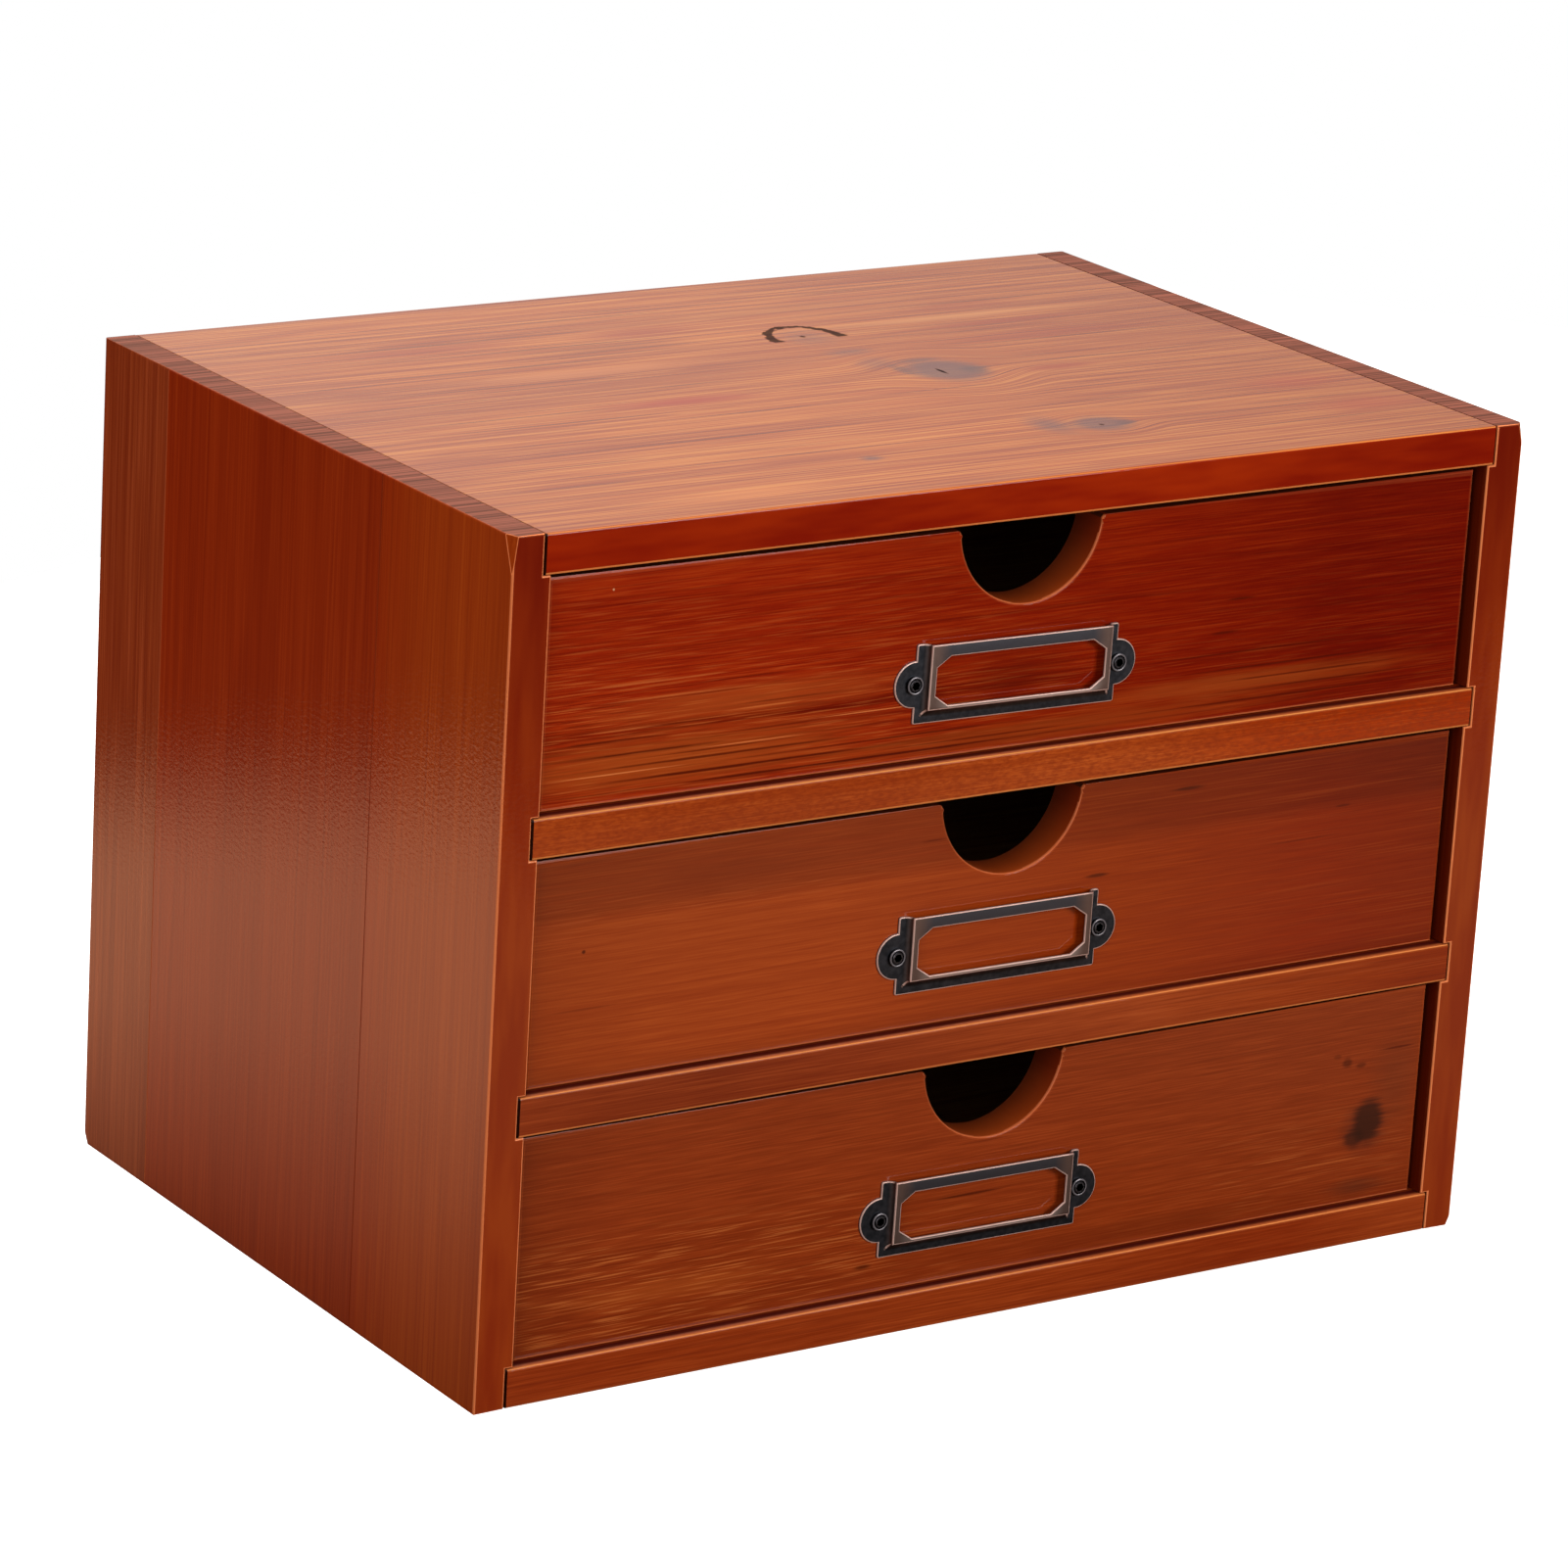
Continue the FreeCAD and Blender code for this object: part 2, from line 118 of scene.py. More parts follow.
# %% [markdown]
# ## Outline, cut, draw out
# A joiner saws a board, then cuts housings and rebates. Here it is quicker the other way
# round: a flat outline is bisected along each cut, the waste is deleted, and the rest is
# extruded to its length. A step, such as a rebate, is a second, shorter extrusion of part
# of the end. Coplanar faces are merged afterwards, so that later edges bevel cleanly.

# %% Make an outline and draw it out
def outline(name, across, low, high, place):
    """A flat rectangle in millimetres, square to the axis named by across."""
    turn = {"Y": (math.pi / 2, 0, 0), "X": (math.pi / 2, 0, math.pi / 2)}[across]
    wide, tall = high[0] - low[0], high[1] - low[1]
    middle_wide, middle_tall = (low[0] + high[0]) / 2, (low[1] + high[1]) / 2
    centre = {"Y": (middle_wide, place, middle_tall), "X": (place, middle_wide, middle_tall)}
    location = Vector(centre[across]) * MM
    bpy.ops.object.select_all(action="DESELECT")
    bpy.ops.mesh.primitive_plane_add(size=1, location=location, rotation=turn)
    piece = bpy.context.object
    piece.name = name
    piece.data.name = name
    piece.scale = (wide * MM, tall * MM, 1)
    bpy.ops.object.transform_apply(location=True, rotation=True, scale=True)
    return piece


def bisect(piece, axis, places):
    """Score the whole open piece along planes square to an axis."""
    for place in places:
        bpy.ops.mesh.select_all(action="SELECT")
        point, normal = Vector(), Vector()
        point[axis] = place * MM
        normal[axis] = 1
        bpy.ops.mesh.bisect(plane_co=point, plane_no=normal, threshold=BISECT_TOUCH)
    bpy.ops.mesh.select_all(action="DESELECT")


def draw_out(piece, axis, length, test=None):
    """Extrude the whole outline, or the faces that pass the test, along an axis."""
    if test:
        bpy.ops.mesh.select_all(action="DESELECT")
        pick(piece, "faces", test)
    step = Vector()
    step[axis] = length * MM
    bpy.ops.mesh.extrude_region_move(TRANSFORM_OT_translate={"value": step})


def merge_flats():
    """Merge faces that lie in one plane."""
    bpy.ops.mesh.select_all(action="SELECT")
    bpy.ops.mesh.remove_doubles(threshold=TOUCH * MM / 2)
    bpy.ops.mesh.normals_make_consistent(inside=False)
    bpy.ops.mesh.dissolve_limited(angle_limit=math.radians(0.5))
    bpy.ops.mesh.select_all(action="DESELECT")


# %% [markdown]
# ## Eased edges
# Every arris of the real chest is sanded round, and the stain is thin there, so it shows as
# a fine light line; the line is also a painted highlight. The bevel tool leaves its new faces
# selected, which makes it easy to mark them in an attribute that the wood's material reads
# as wear and painted highlight. The flats are shaded by weighted normals, so that they stay
# flat up to the bevel.

# %% Ease edges and finish a piece
STEEP = 0.94
FLAT = 0.9995
SLIGHT_WEAR_AND_HIGHLIGHT = 0.3
SMOOTH_UNDER = math.radians(32)


def wear_and_highlight_share(face):
    """How far the stain is thinned on a face, with a painted highlight: all on a bevel's steep
    strip, a little beside it.
    """
    turned = max(abs(value) for value in face.normal)
    if turned < STEEP:
        return 1.0
    return SLIGHT_WEAR_AND_HIGHLIGHT if turned < FLAT else 0.0


def ease(piece, radius, segments, test, wear_highlight_or_shade=1.0):
    """Bevel the edges that pass the test, and mark the new faces as thin stain with a painted
    highlight, or as painted shade where the amount is below 0.
    """
    open_piece(piece, "EDGE")
    if pick(piece, "edges", test):
        bpy.ops.mesh.bevel(offset=radius * MM, segments=segments, affect="EDGES")
        mesh = bmesh.from_edit_mesh(piece.data)
        wear_highlight_shade = mesh.faces.layers.float.get("wear_highlight_shade") or mesh.faces.layers.float.new("wear_highlight_shade")
        for face in mesh.faces:
            if face.select:
                face[wear_highlight_shade] = wear_highlight_or_shade * wear_and_highlight_share(face)
        bmesh.update_edit_mesh(piece.data)
    close_piece()


def finish(piece, body, nodes):
    """Shade a piece, let it ride on its body, and let it stand for its CAD nodes."""
    bpy.ops.object.select_all(action="DESELECT")
    bpy.context.view_layer.objects.active = piece
    piece.select_set(True)
    bpy.ops.object.shade_smooth_by_angle(angle=SMOOTH_UNDER)
    flats = piece.modifiers.new("flats", "WEIGHTED_NORMAL")
    flats.keep_sharp = True
    bpy.ops.object.modifier_apply(modifier=flats.name)
    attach(piece, body)
    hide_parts(*nodes)
    edges = bmesh.new()
    edges.from_mesh(piece.data)
    loose = sum(len(edge.link_faces) != 2 for edge in edges.edges)
    edges.free()
    print(piece.name, len(piece.data.polygons), "faces,", loose, "open edges")


def same_again(piece, name, shift):
    """A copy with its own mesh, moved by a shift."""
    copy = piece.copy()
    copy.data = piece.data.copy()
    copy.name = copy.data.name = name
    copy.data.transform(Matrix.Translation(shift))
    bpy.context.scene.collection.objects.link(copy)
    return copy


def box_mm(node):
    """Lowest and highest corner of a CAD node, in millimetres."""
    low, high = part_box(node)
    return low / MM, high / MM


# %% [markdown]
# ## The sides
# Each side is glued up from three upright staves. The front and back of a stave are seams
# or outer edges, and its inner face has a shallow housing for each board. Wear and painted
# light are written as a number: 1 where the stain is rubbed through and a highlight is
# painted, 0 where it is whole, and less than 0 where painted shade darkens a seam or joint.
# A knocked corner is one slanted bisect that throws the corner away and closes the cut.

# %% Staves
HOUSING_FLOOR = 166.0
HOUSING_GAP = 0.3
REBATE_FLOOR = 169.5
REBATE_LAP = 6.0
ARRIS = 0.8
UPRIGHT_ARRIS = 0.55
FOOT_ARRIS = 1.5
MOUTH_ARRIS = 0.5
SEAM_CHAMFER = 0.22
CHIP_ARRIS = 0.18
SAME_WAY = 0.999
# Amounts for the eased edges: above 0 is wear with a painted highlight, below 0 is painted shade
# in a seam or joint.
JOINT_SHADE = -1.0
SEAM_WEAR_AND_HIGHLIGHT = 0.4
DARK_SEAM_SHADE = JOINT_SHADE / 3
UPRIGHT_WEAR_AND_HIGHLIGHT = 0.8
FOOT_WEAR_AND_HIGHLIGHT = 0.5
END_WEAR_AND_HIGHLIGHT = 0.4
# Which end is knocked, and the cut's run inwards along X, along Y and along Z
KNOCKED_CORNERS = {("left", "front"): [("top", 1.5, 4.5, -12)],
                   ("right", "front"): [("top", 2.0, 2.0, -7), ("foot", 1.6, 2.0, 3.6)],
                   ("left", "rear"): [("foot", 1.8, -2.6, 4.5)]}
board_names = ("bottom_board", "shelf_lower", "shelf_upper", "top_board")
board_boxes = [box_mm(name) for name in board_names]
panel_front = box_mm("back_panel")[0].y


def stave_outline(hand, name, low, high):
    """The front of a stave, with a notch for each board's end."""
    piece = outline(name, "Y", (low.x, low.z), (high.x, high.z), low.y)
    housings = [(board[0].z, board[1].z + HOUSING_GAP) for board in board_boxes]
    levels = [level for housing in housings for level in housing if 0 < level < high.z]
    open_piece(piece, "FACE")
    bisect(piece, 0, [hand * HOUSING_FLOOR])
    bisect(piece, 2, levels)

    def in_housing(face_low, face_high):
        inside = abs(face_low.x + face_high.x) / 2 < HOUSING_FLOOR
        middle = (face_low.z + face_high.z) / 2
        return inside and any(bottom < middle < top for bottom, top in housings)

    pick(piece, "faces", in_housing)
    bpy.ops.mesh.delete(type="FACE")
    return piece


def make_stave(hand, side, part):
    """One stave between the corners of its CAD node."""
    node = f"side_{side}_stave_{part}"
    low, high = box_mm(node)
    outer_x = high.x if hand > 0 else low.x
    piece = stave_outline(hand, f"{side}_{part}_stave", low, high)
    if part == "rear":
        bisect(piece, 0, [hand * REBATE_FLOOR])
        top_underside = board_boxes[-1][0].z
        bottom_top = board_boxes[0][1].z
        rebate_low, rebate_high = bottom_top - REBATE_LAP, top_underside + REBATE_LAP
        bisect(piece, 2, [rebate_low, rebate_high])
        bpy.ops.mesh.select_all(action="SELECT")
        draw_out(piece, 1, panel_front - low.y)

        def beside_rebate(face_low, face_high):
            outside = abs(face_low.x + face_high.x) / 2 > REBATE_FLOOR
            past_ends = face_high.z < rebate_low + TOUCH or face_low.z > rebate_high - TOUCH
            return at(face_low.y, panel_front) and (outside or past_ends)

        draw_out(piece, 1, high.y - panel_front, beside_rebate)
    else:
        bpy.ops.mesh.select_all(action="SELECT")
        draw_out(piece, 1, high.y - low.y)
    merge_flats()
    close_piece()
    return piece, node, low, high, outer_x


def knock_corner(piece, corner, run, depth, rise):
    """Cut a corner off: run along X, depth along Y and rise along Z, in millimetres."""
    open_piece(piece, "FACE")
    bpy.ops.mesh.select_all(action="SELECT")
    place = Vector(corner)
    on_x = place + Vector((run, 0, 0))
    on_y = place + Vector((0, depth, 0))
    on_z = place + Vector((0, 0, rise))
    normal = (on_y - on_x).cross(on_z - on_x).normalized()
    if normal.dot(place - on_x) < 0:
        normal = -normal
    bpy.ops.mesh.bisect(plane_co=on_x * MM, plane_no=normal, threshold=BISECT_TOUCH,
                        use_fill=True, clear_outer=True)
    bpy.ops.mesh.bevel(offset=CHIP_ARRIS * MM, segments=1, affect="EDGES", clamp_overlap=True)
    mesh = bmesh.from_edit_mesh(piece.data)
    wear_highlight_shade = mesh.faces.layers.float["wear_highlight_shade"]
    # The chip's edges get wear and a painted highlight, its cut face neither.
    for face in mesh.faces:
        if abs(face.normal.dot(normal)) > SAME_WAY:
            face[wear_highlight_shade] = 0.0
        elif face.select:
            face[wear_highlight_shade] = 1.0
    bmesh.update_edit_mesh(piece.data)
    close_piece()


def ease_stave(piece, part, low, high, outer_x):
    """Break the glue seams and round the arrises.

    The upright arris comes before the foot: after it, the foot's rounding would squeeze it.
    """
    def outer(edge_low, edge_high):
        return at(edge_low.x, outer_x) and at(edge_high.x, outer_x)

    def upright_at(place):
        return lambda a, b: outer(a, b) and at(a.y, place) and at(b.y, place)

    def front_inner(edge_low, edge_high):
        on_front = at(edge_low.y, low.y) and at(edge_high.y, low.y)
        reach = UPRIGHT_ARRIS + TOUCH
        beside_arris = all(abs(end.x - outer_x) < reach for end in (edge_low, edge_high))
        return on_front and not beside_arris

    seams = {"front": [high.y], "middle": [low.y, high.y], "rear": [low.y]}[part]
    # The middle stave's front seam gets painted shade, the other seams a light line of wear and
    # painted highlight.
    for seam in seams:
        dark = part == "middle" and seam == low.y
        ease(piece, SEAM_CHAMFER, 1, upright_at(seam), DARK_SEAM_SHADE if dark else SEAM_WEAR_AND_HIGHLIGHT)
    if part == "front":
        ease(piece, UPRIGHT_ARRIS, 2, upright_at(low.y), UPRIGHT_WEAR_AND_HIGHLIGHT)
        ease(piece, MOUTH_ARRIS, 2, front_inner)
    if part == "rear":
        ease(piece, ARRIS, 3, upright_at(high.y))
    ease(piece, FOOT_ARRIS, 4, lambda a, b: outer(a, b) and at(b.z, 0), FOOT_WEAR_AND_HIGHLIGHT)
    ease(piece, ARRIS, 3, lambda a, b: outer(a, b) and at(a.z, high.z), END_WEAR_AND_HIGHLIGHT)


staves = {}
for hand, side in ((-1, "left"), (1, "right")):
    for part in ("front", "middle", "rear"):
        piece, node, low, high, outer_x = make_stave(hand, side, part)
        ease_stave(piece, part, low, high, outer_x)
        corner_y = high.y if part == "rear" else low.y
        for end, run, depth, rise in KNOCKED_CORNERS.get((side, part), ()):
            corner = (outer_x, corner_y, high.z if end == "top" else 0)
            knock_corner(piece, corner, -hand * run, depth, rise)
        finish(piece, "cabinet", [node])
        staves[node] = piece

# %% [markdown]
# ## The boards
# The top and bottom boards and the two shelves are housed in the sides. Their end outline
# is drawn out over their length. The top and bottom boards have a rebate for the back
# panel, which is one cell of the scored outline, deleted as waste.

# %% Top, shelves and bottom
BOARD_END_ARRIS = 0.45
LOWER_BOARD_ARRIS = 0.8
LOWER_BOARD_WEAR_AND_HIGHLIGHT = 0.75
TOP_WEAR_AND_HIGHLIGHT = 0.6
middle_height = cad_box[1].z / MM / 2


def make_board(name, low, high, rebate=None):
    """A board along X, with its front arrises eased."""
    piece = outline(name, "X", (low.y, low.z), (high.y, high.z), low.x)
    open_piece(piece, "FACE")
    if rebate:
        bisect(piece, 1, [panel_front])
        bisect(piece, 2, [rebate])
        bay_side = 1 if high.z < middle_height else -1

        def waste(face_low, face_high):
            behind = face_low.y > panel_front - TOUCH
            face_middle = (face_low.z + face_high.z) / 2
            return behind and (face_middle - rebate) * bay_side > 0

        pick(piece, "faces", waste)
        bpy.ops.mesh.delete(type="FACE")
    bpy.ops.mesh.select_all(action="SELECT")
    draw_out(piece, 0, high.x - low.x)
    merge_flats()
    close_piece()

    def front_arris(a, b):
        return at(a.y, low.y) and at(b.y, low.y) and b.x - a.x > 1

    def front_arris_at(level):
        return lambda a, b: front_arris(a, b) and at(a.z, level) and at(b.z, level)

    def rear_arris(a, b):
        return at(a.y, high.y) and at(b.y, high.y) and b.x - a.x > 1

    def end_arris(a, b):
        return at(a.x, b.x) and at(abs(a.x), high.x) and a.y < high.y - 1

    def top_end_arris(a, b):
        return end_arris(a, b) and at(a.z, high.z) and at(b.z, high.z)

    # The front edges and the rebate's edge get wear and a painted highlight, and the ends get
    # painted shade where they meet the sides.
    if low.z > 0:
        ease(piece, LOWER_BOARD_ARRIS, 2, front_arris_at(low.z), LOWER_BOARD_WEAR_AND_HIGHLIGHT)
    else:
        ease(piece, ARRIS, 3, front_arris_at(low.z))
    upper_wear_and_highlight = TOP_WEAR_AND_HIGHLIGHT if name == "top_plank" else 1.0
    ease(piece, ARRIS, 3, front_arris_at(high.z), upper_wear_and_highlight)
    ease(piece, BOARD_END_ARRIS / 2, 1, top_end_arris, JOINT_SHADE / 2)
    ease(piece, BOARD_END_ARRIS, 1, lambda a, b: end_arris(a, b) and b.y < 0, JOINT_SHADE)
    if rebate:
        ease(piece, MOUTH_ARRIS, 2, rear_arris)
    return piece


boards = {}
bottom_low, bottom_high = board_boxes[0]
boards["bottom_board"] = make_board("bottom_plank", bottom_low, bottom_high, REBATE_LAP)
top_low, top_high = board_boxes[3]
boards["top_board"] = make_board("top_plank", top_low, top_high, top_low.z + REBATE_LAP)
shelf_low, shelf_high = board_boxes[1]
boards["shelf_lower"] = make_board("lower_shelf_plank", shelf_low, shelf_high)
shelf_step = Vector((0, 0, board_boxes[2][0].z - shelf_low.z)) * MM
boards["shelf_upper"] = same_again(boards["shelf_lower"], "upper_shelf_plank", shelf_step)
for node, piece in boards.items():
    finish(piece, "cabinet", [node])

# %% [markdown]
# ## The drawer fronts
# A half-moon is drawn with the spin tool: one point swings round the notch's centre and
# leaves an arc, and extruded points close the outline round it. The front is then drawn
# out in steps, first the thin lip that hides the drawer sides, then the thick middle with
# the groove that holds the bottom. One front is modelled and copied to the other bays.

# %% Draw points
def start_at(name, place):
    """A piece of one point, in millimetres, left open and selected."""
    bpy.ops.object.select_all(action="DESELECT")
    bpy.ops.mesh.primitive_plane_add(size=MM, location=Vector(place) * MM)
    piece = bpy.context.object
    piece.name = piece.data.name = name
    bpy.ops.object.transform_apply(location=True, rotation=True, scale=True)
    open_piece(piece, "VERT")
    bpy.ops.mesh.select_all(action="SELECT")
    bpy.ops.mesh.merge(type="CENTER")
    return piece


def walk(places):
    """Extrude the selected point from place to place, given as steps in millimetres."""
    for step in places:
        value = Vector(step) * MM
        bpy.ops.mesh.extrude_region_move(TRANSFORM_OT_translate={"value": value})


def near_point(place):
    """Test for a vertex at a place in millimetres."""
    target = Vector(place)
    return lambda low, high: (low - target).length < TOUCH


# %% Front outline with its notch
NOTCH_RADIUS = 24.6
NOTCH_RISE = 0.8
NOTCH_STEPS = 56
NOTCH_CORNER = 1.5
NOTCH_CORNER_WEAR_AND_HIGHLIGHT = 0.2
NOTCH_INNER_ARRIS = 0.5
NOTCH_INNER_WEAR_AND_HIGHLIGHT = 0.35
LOWER_ARRIS = 0.7
LOWER_WEAR_AND_HIGHLIGHT = 0.9
UPPER_ARRIS = 0.5
UPPER_WEAR_AND_HIGHLIGHT = 0.5
LIP_THICKNESS = 6.0
INNER_HALF_WIDTH = 153.3
GROOVE_DEPTH = 4.0
GROOVE_GAP = 0.2
front_low, front_high = box_mm("drawer_bottom_front")
front_face_y = front_low.y
groove_low = box_mm("drawer_bottom_bottom")[0].z
groove_high = box_mm("drawer_bottom_bottom")[1].z + GROOVE_GAP
notch_half = math.sqrt(NOTCH_RADIUS ** 2 - NOTCH_RISE ** 2)
notch_angle = 2 * math.asin(notch_half / NOTCH_RADIUS)
notch_centre = Vector((0, front_face_y, front_high.z + NOTCH_RISE))

front = start_at("bottom_drawer_front", (-notch_half, front_face_y, front_high.z))
swing = {"steps": NOTCH_STEPS, "angle": notch_angle, "axis": (0, 1, 0)}
bpy.ops.mesh.spin(center=notch_centre * MM, **swing)
bpy.ops.mesh.select_all(action="DESELECT")
pick(front, "verts", near_point((notch_half, front_face_y, front_high.z)))
shoulder = front_high.x - notch_half
tall, wide = front_high.z - front_low.z, front_high.x - front_low.x
walk([(shoulder, 0, 0), (0, 0, -tall), (-wide, 0, 0), (0, 0, tall), (shoulder, 0, 0)])
bpy.ops.mesh.select_all(action="SELECT")
bpy.ops.mesh.remove_doubles(threshold=TOUCH * MM)
bpy.ops.mesh.edge_face_add()
front_points = len(bmesh.from_edit_mesh(front.data).verts)
print("notch", round(notch_half, 2), "mm half width, outline of", front_points, "points")

# %% Draw the front out in three steps
bpy.ops.mesh.select_mode(type="FACE")
bisect(front, 0, [-INNER_HALF_WIDTH, INNER_HALF_WIDTH])
bisect(front, 2, [groove_low, groove_high])
bpy.ops.mesh.select_all(action="SELECT")
draw_out(front, 1, LIP_THICKNESS)
lip_y = front_face_y + LIP_THICKNESS
groove_y = front_high.y - GROOVE_DEPTH


def behind_lip(low, high):
    """The middle part of the face left by the first step."""
    return at(low.y, lip_y) and at(high.y, lip_y) and high.x - low.x > front_high.x


def beside_groove(low, high):
    """The part of the second step's face above and below the groove."""
    in_groove = low.z > groove_low - TOUCH and high.z < groove_high + TOUCH
    return at(low.y, groove_y) and at(high.y, groove_y) and not in_groove


draw_out(front, 1, groove_y - lip_y, behind_lip)
draw_out(front, 1, front_high.y - groove_y, beside_groove)
merge_flats()
close_piece()


# %% Ease the front
def notch_corner(low, high):
    """The two edges where the notch meets the top edge."""
    return high.y - low.y > 1 and at(abs(low.x), notch_half) and at(low.z, front_high.z)


def on_front_face(low, high):
    """The edges of the front face that aren't level: its two ends and the notch's arc."""
    on_face = at(low.y, front_face_y) and at(high.y, front_face_y)
    return on_face and not at(low.z, high.z)


def upper_edge(low, high):
    """The upper edge of the front face, either side of the notch."""
    on_face = at(low.y, front_face_y) and at(high.y, front_face_y)
    return on_face and at(low.z, front_high.z)


def lower_edge(low, high):
    """The lower edge of the front face."""
    return at(low.y, front_face_y) and at(high.y, front_face_y) and at(high.z, front_low.z)


def inner_rim(low, high):
    """The notch's rim and the top edge on the inner face."""
    return at(low.y, front_high.y) and at(high.y, front_high.y) and low.z > groove_high + 1


# Each eased edge of the front gets wear and a painted highlight.
ease(front, NOTCH_CORNER, 4, notch_corner, NOTCH_CORNER_WEAR_AND_HIGHLIGHT)
ease(front, NOTCH_INNER_ARRIS, 2, inner_rim, NOTCH_INNER_WEAR_AND_HIGHLIGHT)
ease(front, LOWER_ARRIS, 2, lower_edge, LOWER_WEAR_AND_HIGHLIGHT)
ease(front, UPPER_ARRIS, 3, upper_edge, UPPER_WEAR_AND_HIGHLIGHT)
ease(front, ARRIS, 3, on_front_face)
fronts = {"bottom": front}
for drawer in DRAWERS[1:]:
    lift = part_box(f"drawer_{drawer}_front")[0].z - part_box("drawer_bottom_front")[0].z
    fronts[drawer] = same_again(front, f"{drawer}_drawer_front", Vector((0, 0, lift)))
for drawer, piece in fronts.items():
    finish(piece, f"drawer_{drawer}", [f"drawer_{drawer}_front"])

# %% [markdown]
# ## The label holder
# The holder is stamped from thin sheet. A die pushes the middle forward and leaves a flat
# flange with two ears, and a hollow curve between flange and field. The same is done here:
# a flat outline is scored along the bends, each ring of the middle is pushed a little
# further than the last, and Solidify gives the sheet its thickness. Where a side bend
# meets the lower bend, the score lines cross, and the corners are joined by a mitre.

# %% Outline of the sheet
HOLDER_WIDTH = 70.8
HOLDER_HEIGHT = 23.8
EAR_RADIUS = 7.0
EAR_STEPS = 20
PLATE_CORNER = 0.7
SHEET = 0.7
RISE = 3.1
FLANGE = 2.2
COVE = 2.0
COVE_HOLLOW = 0.5
COVE_STEPS = 7
LOWER_COVE_SHARE = 1.4
half_width = HOLDER_WIDTH / 2
half_height = HOLDER_HEIGHT / 2

holder = start_at("bottom_label_holder_frame", (-half_width, 0, -EAR_RADIUS))
ear = {"steps": EAR_STEPS, "angle": -math.pi, "axis": (0, 1, 0)}
bpy.ops.mesh.spin(center=Vector((-half_width, 0, 0)) * MM, **ear)
bpy.ops.mesh.select_all(action="DESELECT")
pick(holder, "verts", near_point((-half_width, 0, EAR_RADIUS)))
step_up = half_height - EAR_RADIUS
walk([(0, 0, step_up), (HOLDER_WIDTH, 0, 0), (0, 0, -step_up)])
bpy.ops.mesh.spin(center=Vector((half_width, 0, 0)) * MM, **ear)
bpy.ops.mesh.select_all(action="DESELECT")
pick(holder, "verts", near_point((half_width, 0, -EAR_RADIUS)))
walk([(0, 0, -step_up), (-HOLDER_WIDTH, 0, 0), (0, 0, step_up)])
bpy.ops.mesh.select_all(action="SELECT")
bpy.ops.mesh.remove_doubles(threshold=TOUCH * MM)
bpy.ops.mesh.edge_face_add()
bpy.ops.mesh.select_all(action="DESELECT")
pick(holder, "verts", lambda a, b: at(abs(a.x), half_width) and at(abs(a.z), half_height))
bpy.ops.mesh.bevel(offset=PLATE_CORNER * MM, segments=3, affect="VERTICES")
low_x = min(vert.co.x for vert in bmesh.from_edit_mesh(holder.data).verts) / MM
print("holder reaches", round(low_x, 2), "mm to the left of its middle")


# %% Score and push the cove
def cove_profile():
    """Places from the foot (run 0) to the rim (run COVE), each with its height."""
    rise = RISE - SHEET
    chord = math.hypot(COVE, rise)
    radius = (chord ** 2 / 4 + COVE_HOLLOW ** 2) / (2 * COVE_HOLLOW)
    along_x, along_y = COVE / chord, rise / chord
    middle_x = COVE / 2 - along_y * (radius - COVE_HOLLOW)
    middle_y = rise / 2 + along_x * (radius - COVE_HOLLOW)
    half_angle = math.asin(chord / 2 / radius)
    facing = math.atan2(-along_x, along_y)
    places = []
    for step in range(COVE_STEPS + 1):
        angle = facing + half_angle * (2 * step / COVE_STEPS - 1)
        places.append((middle_x + radius * math.cos(angle), middle_y + radius * math.sin(angle)))
    return places


profile = cove_profile()
foot_x = half_width - FLANGE
foot_z = -half_height + FLANGE
bpy.ops.mesh.select_mode(type="FACE")
bisect(holder, 0, [hand * (foot_x - run) for run, _ in profile for hand in (-1, 1)])
bisect(holder, 2, [foot_z + LOWER_COVE_SHARE * run for run, _ in profile])
bpy.ops.mesh.select_mode(type="VERT")
reached = 0.0
for run, height in profile[1:]:
    bpy.ops.mesh.select_all(action="DESELECT")

    def inside(low, high, run=run):
        above_foot = low.z > foot_z + LOWER_COVE_SHARE * run - TOUCH
        return abs(low.x) < foot_x - run + TOUCH and above_foot

    pick(holder, "verts", inside)
    push = Vector((0, reached - height, 0)) * MM
    bpy.ops.transform.translate(value=push)
    reached = height
print("cove from", profile[0], "to", profile[-1])

# %% Fold the mitres
for hand in (-1, 1):
    bpy.ops.mesh.select_all(action="DESELECT")

    def on_mitre(low, high, hand=hand):
        on_line = [abs(hand * low.x - foot_x + run) + abs(low.z - foot_z - LOWER_COVE_SHARE * run)
                   for run, _ in profile]
        return min(on_line) < TOUCH

    pick(holder, "verts", on_mitre)
    bpy.ops.mesh.vert_connect()

# %% Cut the window
WINDOW_SIDE = 1.6
WINDOW_TOP = 3.7
WINDOW_BOTTOM = 0.5
WINDOW_RUN = 4.6
WINDOW_RISE = 3.1
window_x = foot_x - COVE - WINDOW_SIDE
rim_z = foot_z + LOWER_COVE_SHARE * COVE
window_low = rim_z + WINDOW_BOTTOM
window_high = half_height - WINDOW_TOP
rim_x = foot_x - COVE


def in_field(low, high):
    """The flat raised field."""
    return low.x > -rim_x - TOUCH and high.x < rim_x + TOUCH and low.z > rim_z - TOUCH


def in_window(low, high):
    """The field inside the window's upright and level sides."""
    level = low.z > window_low - TOUCH and high.z < window_high + TOUCH
    return low.x > -window_x - TOUCH and high.x < window_x + TOUCH and level


def bisect_picked(test, point, normal):
    """Score only the faces that pass the test."""
    bpy.ops.mesh.select_all(action="DESELECT")
    pick(holder, "faces", test)
    bpy.ops.mesh.bisect(plane_co=Vector(point) * MM, plane_no=normal, threshold=BISECT_TOUCH)


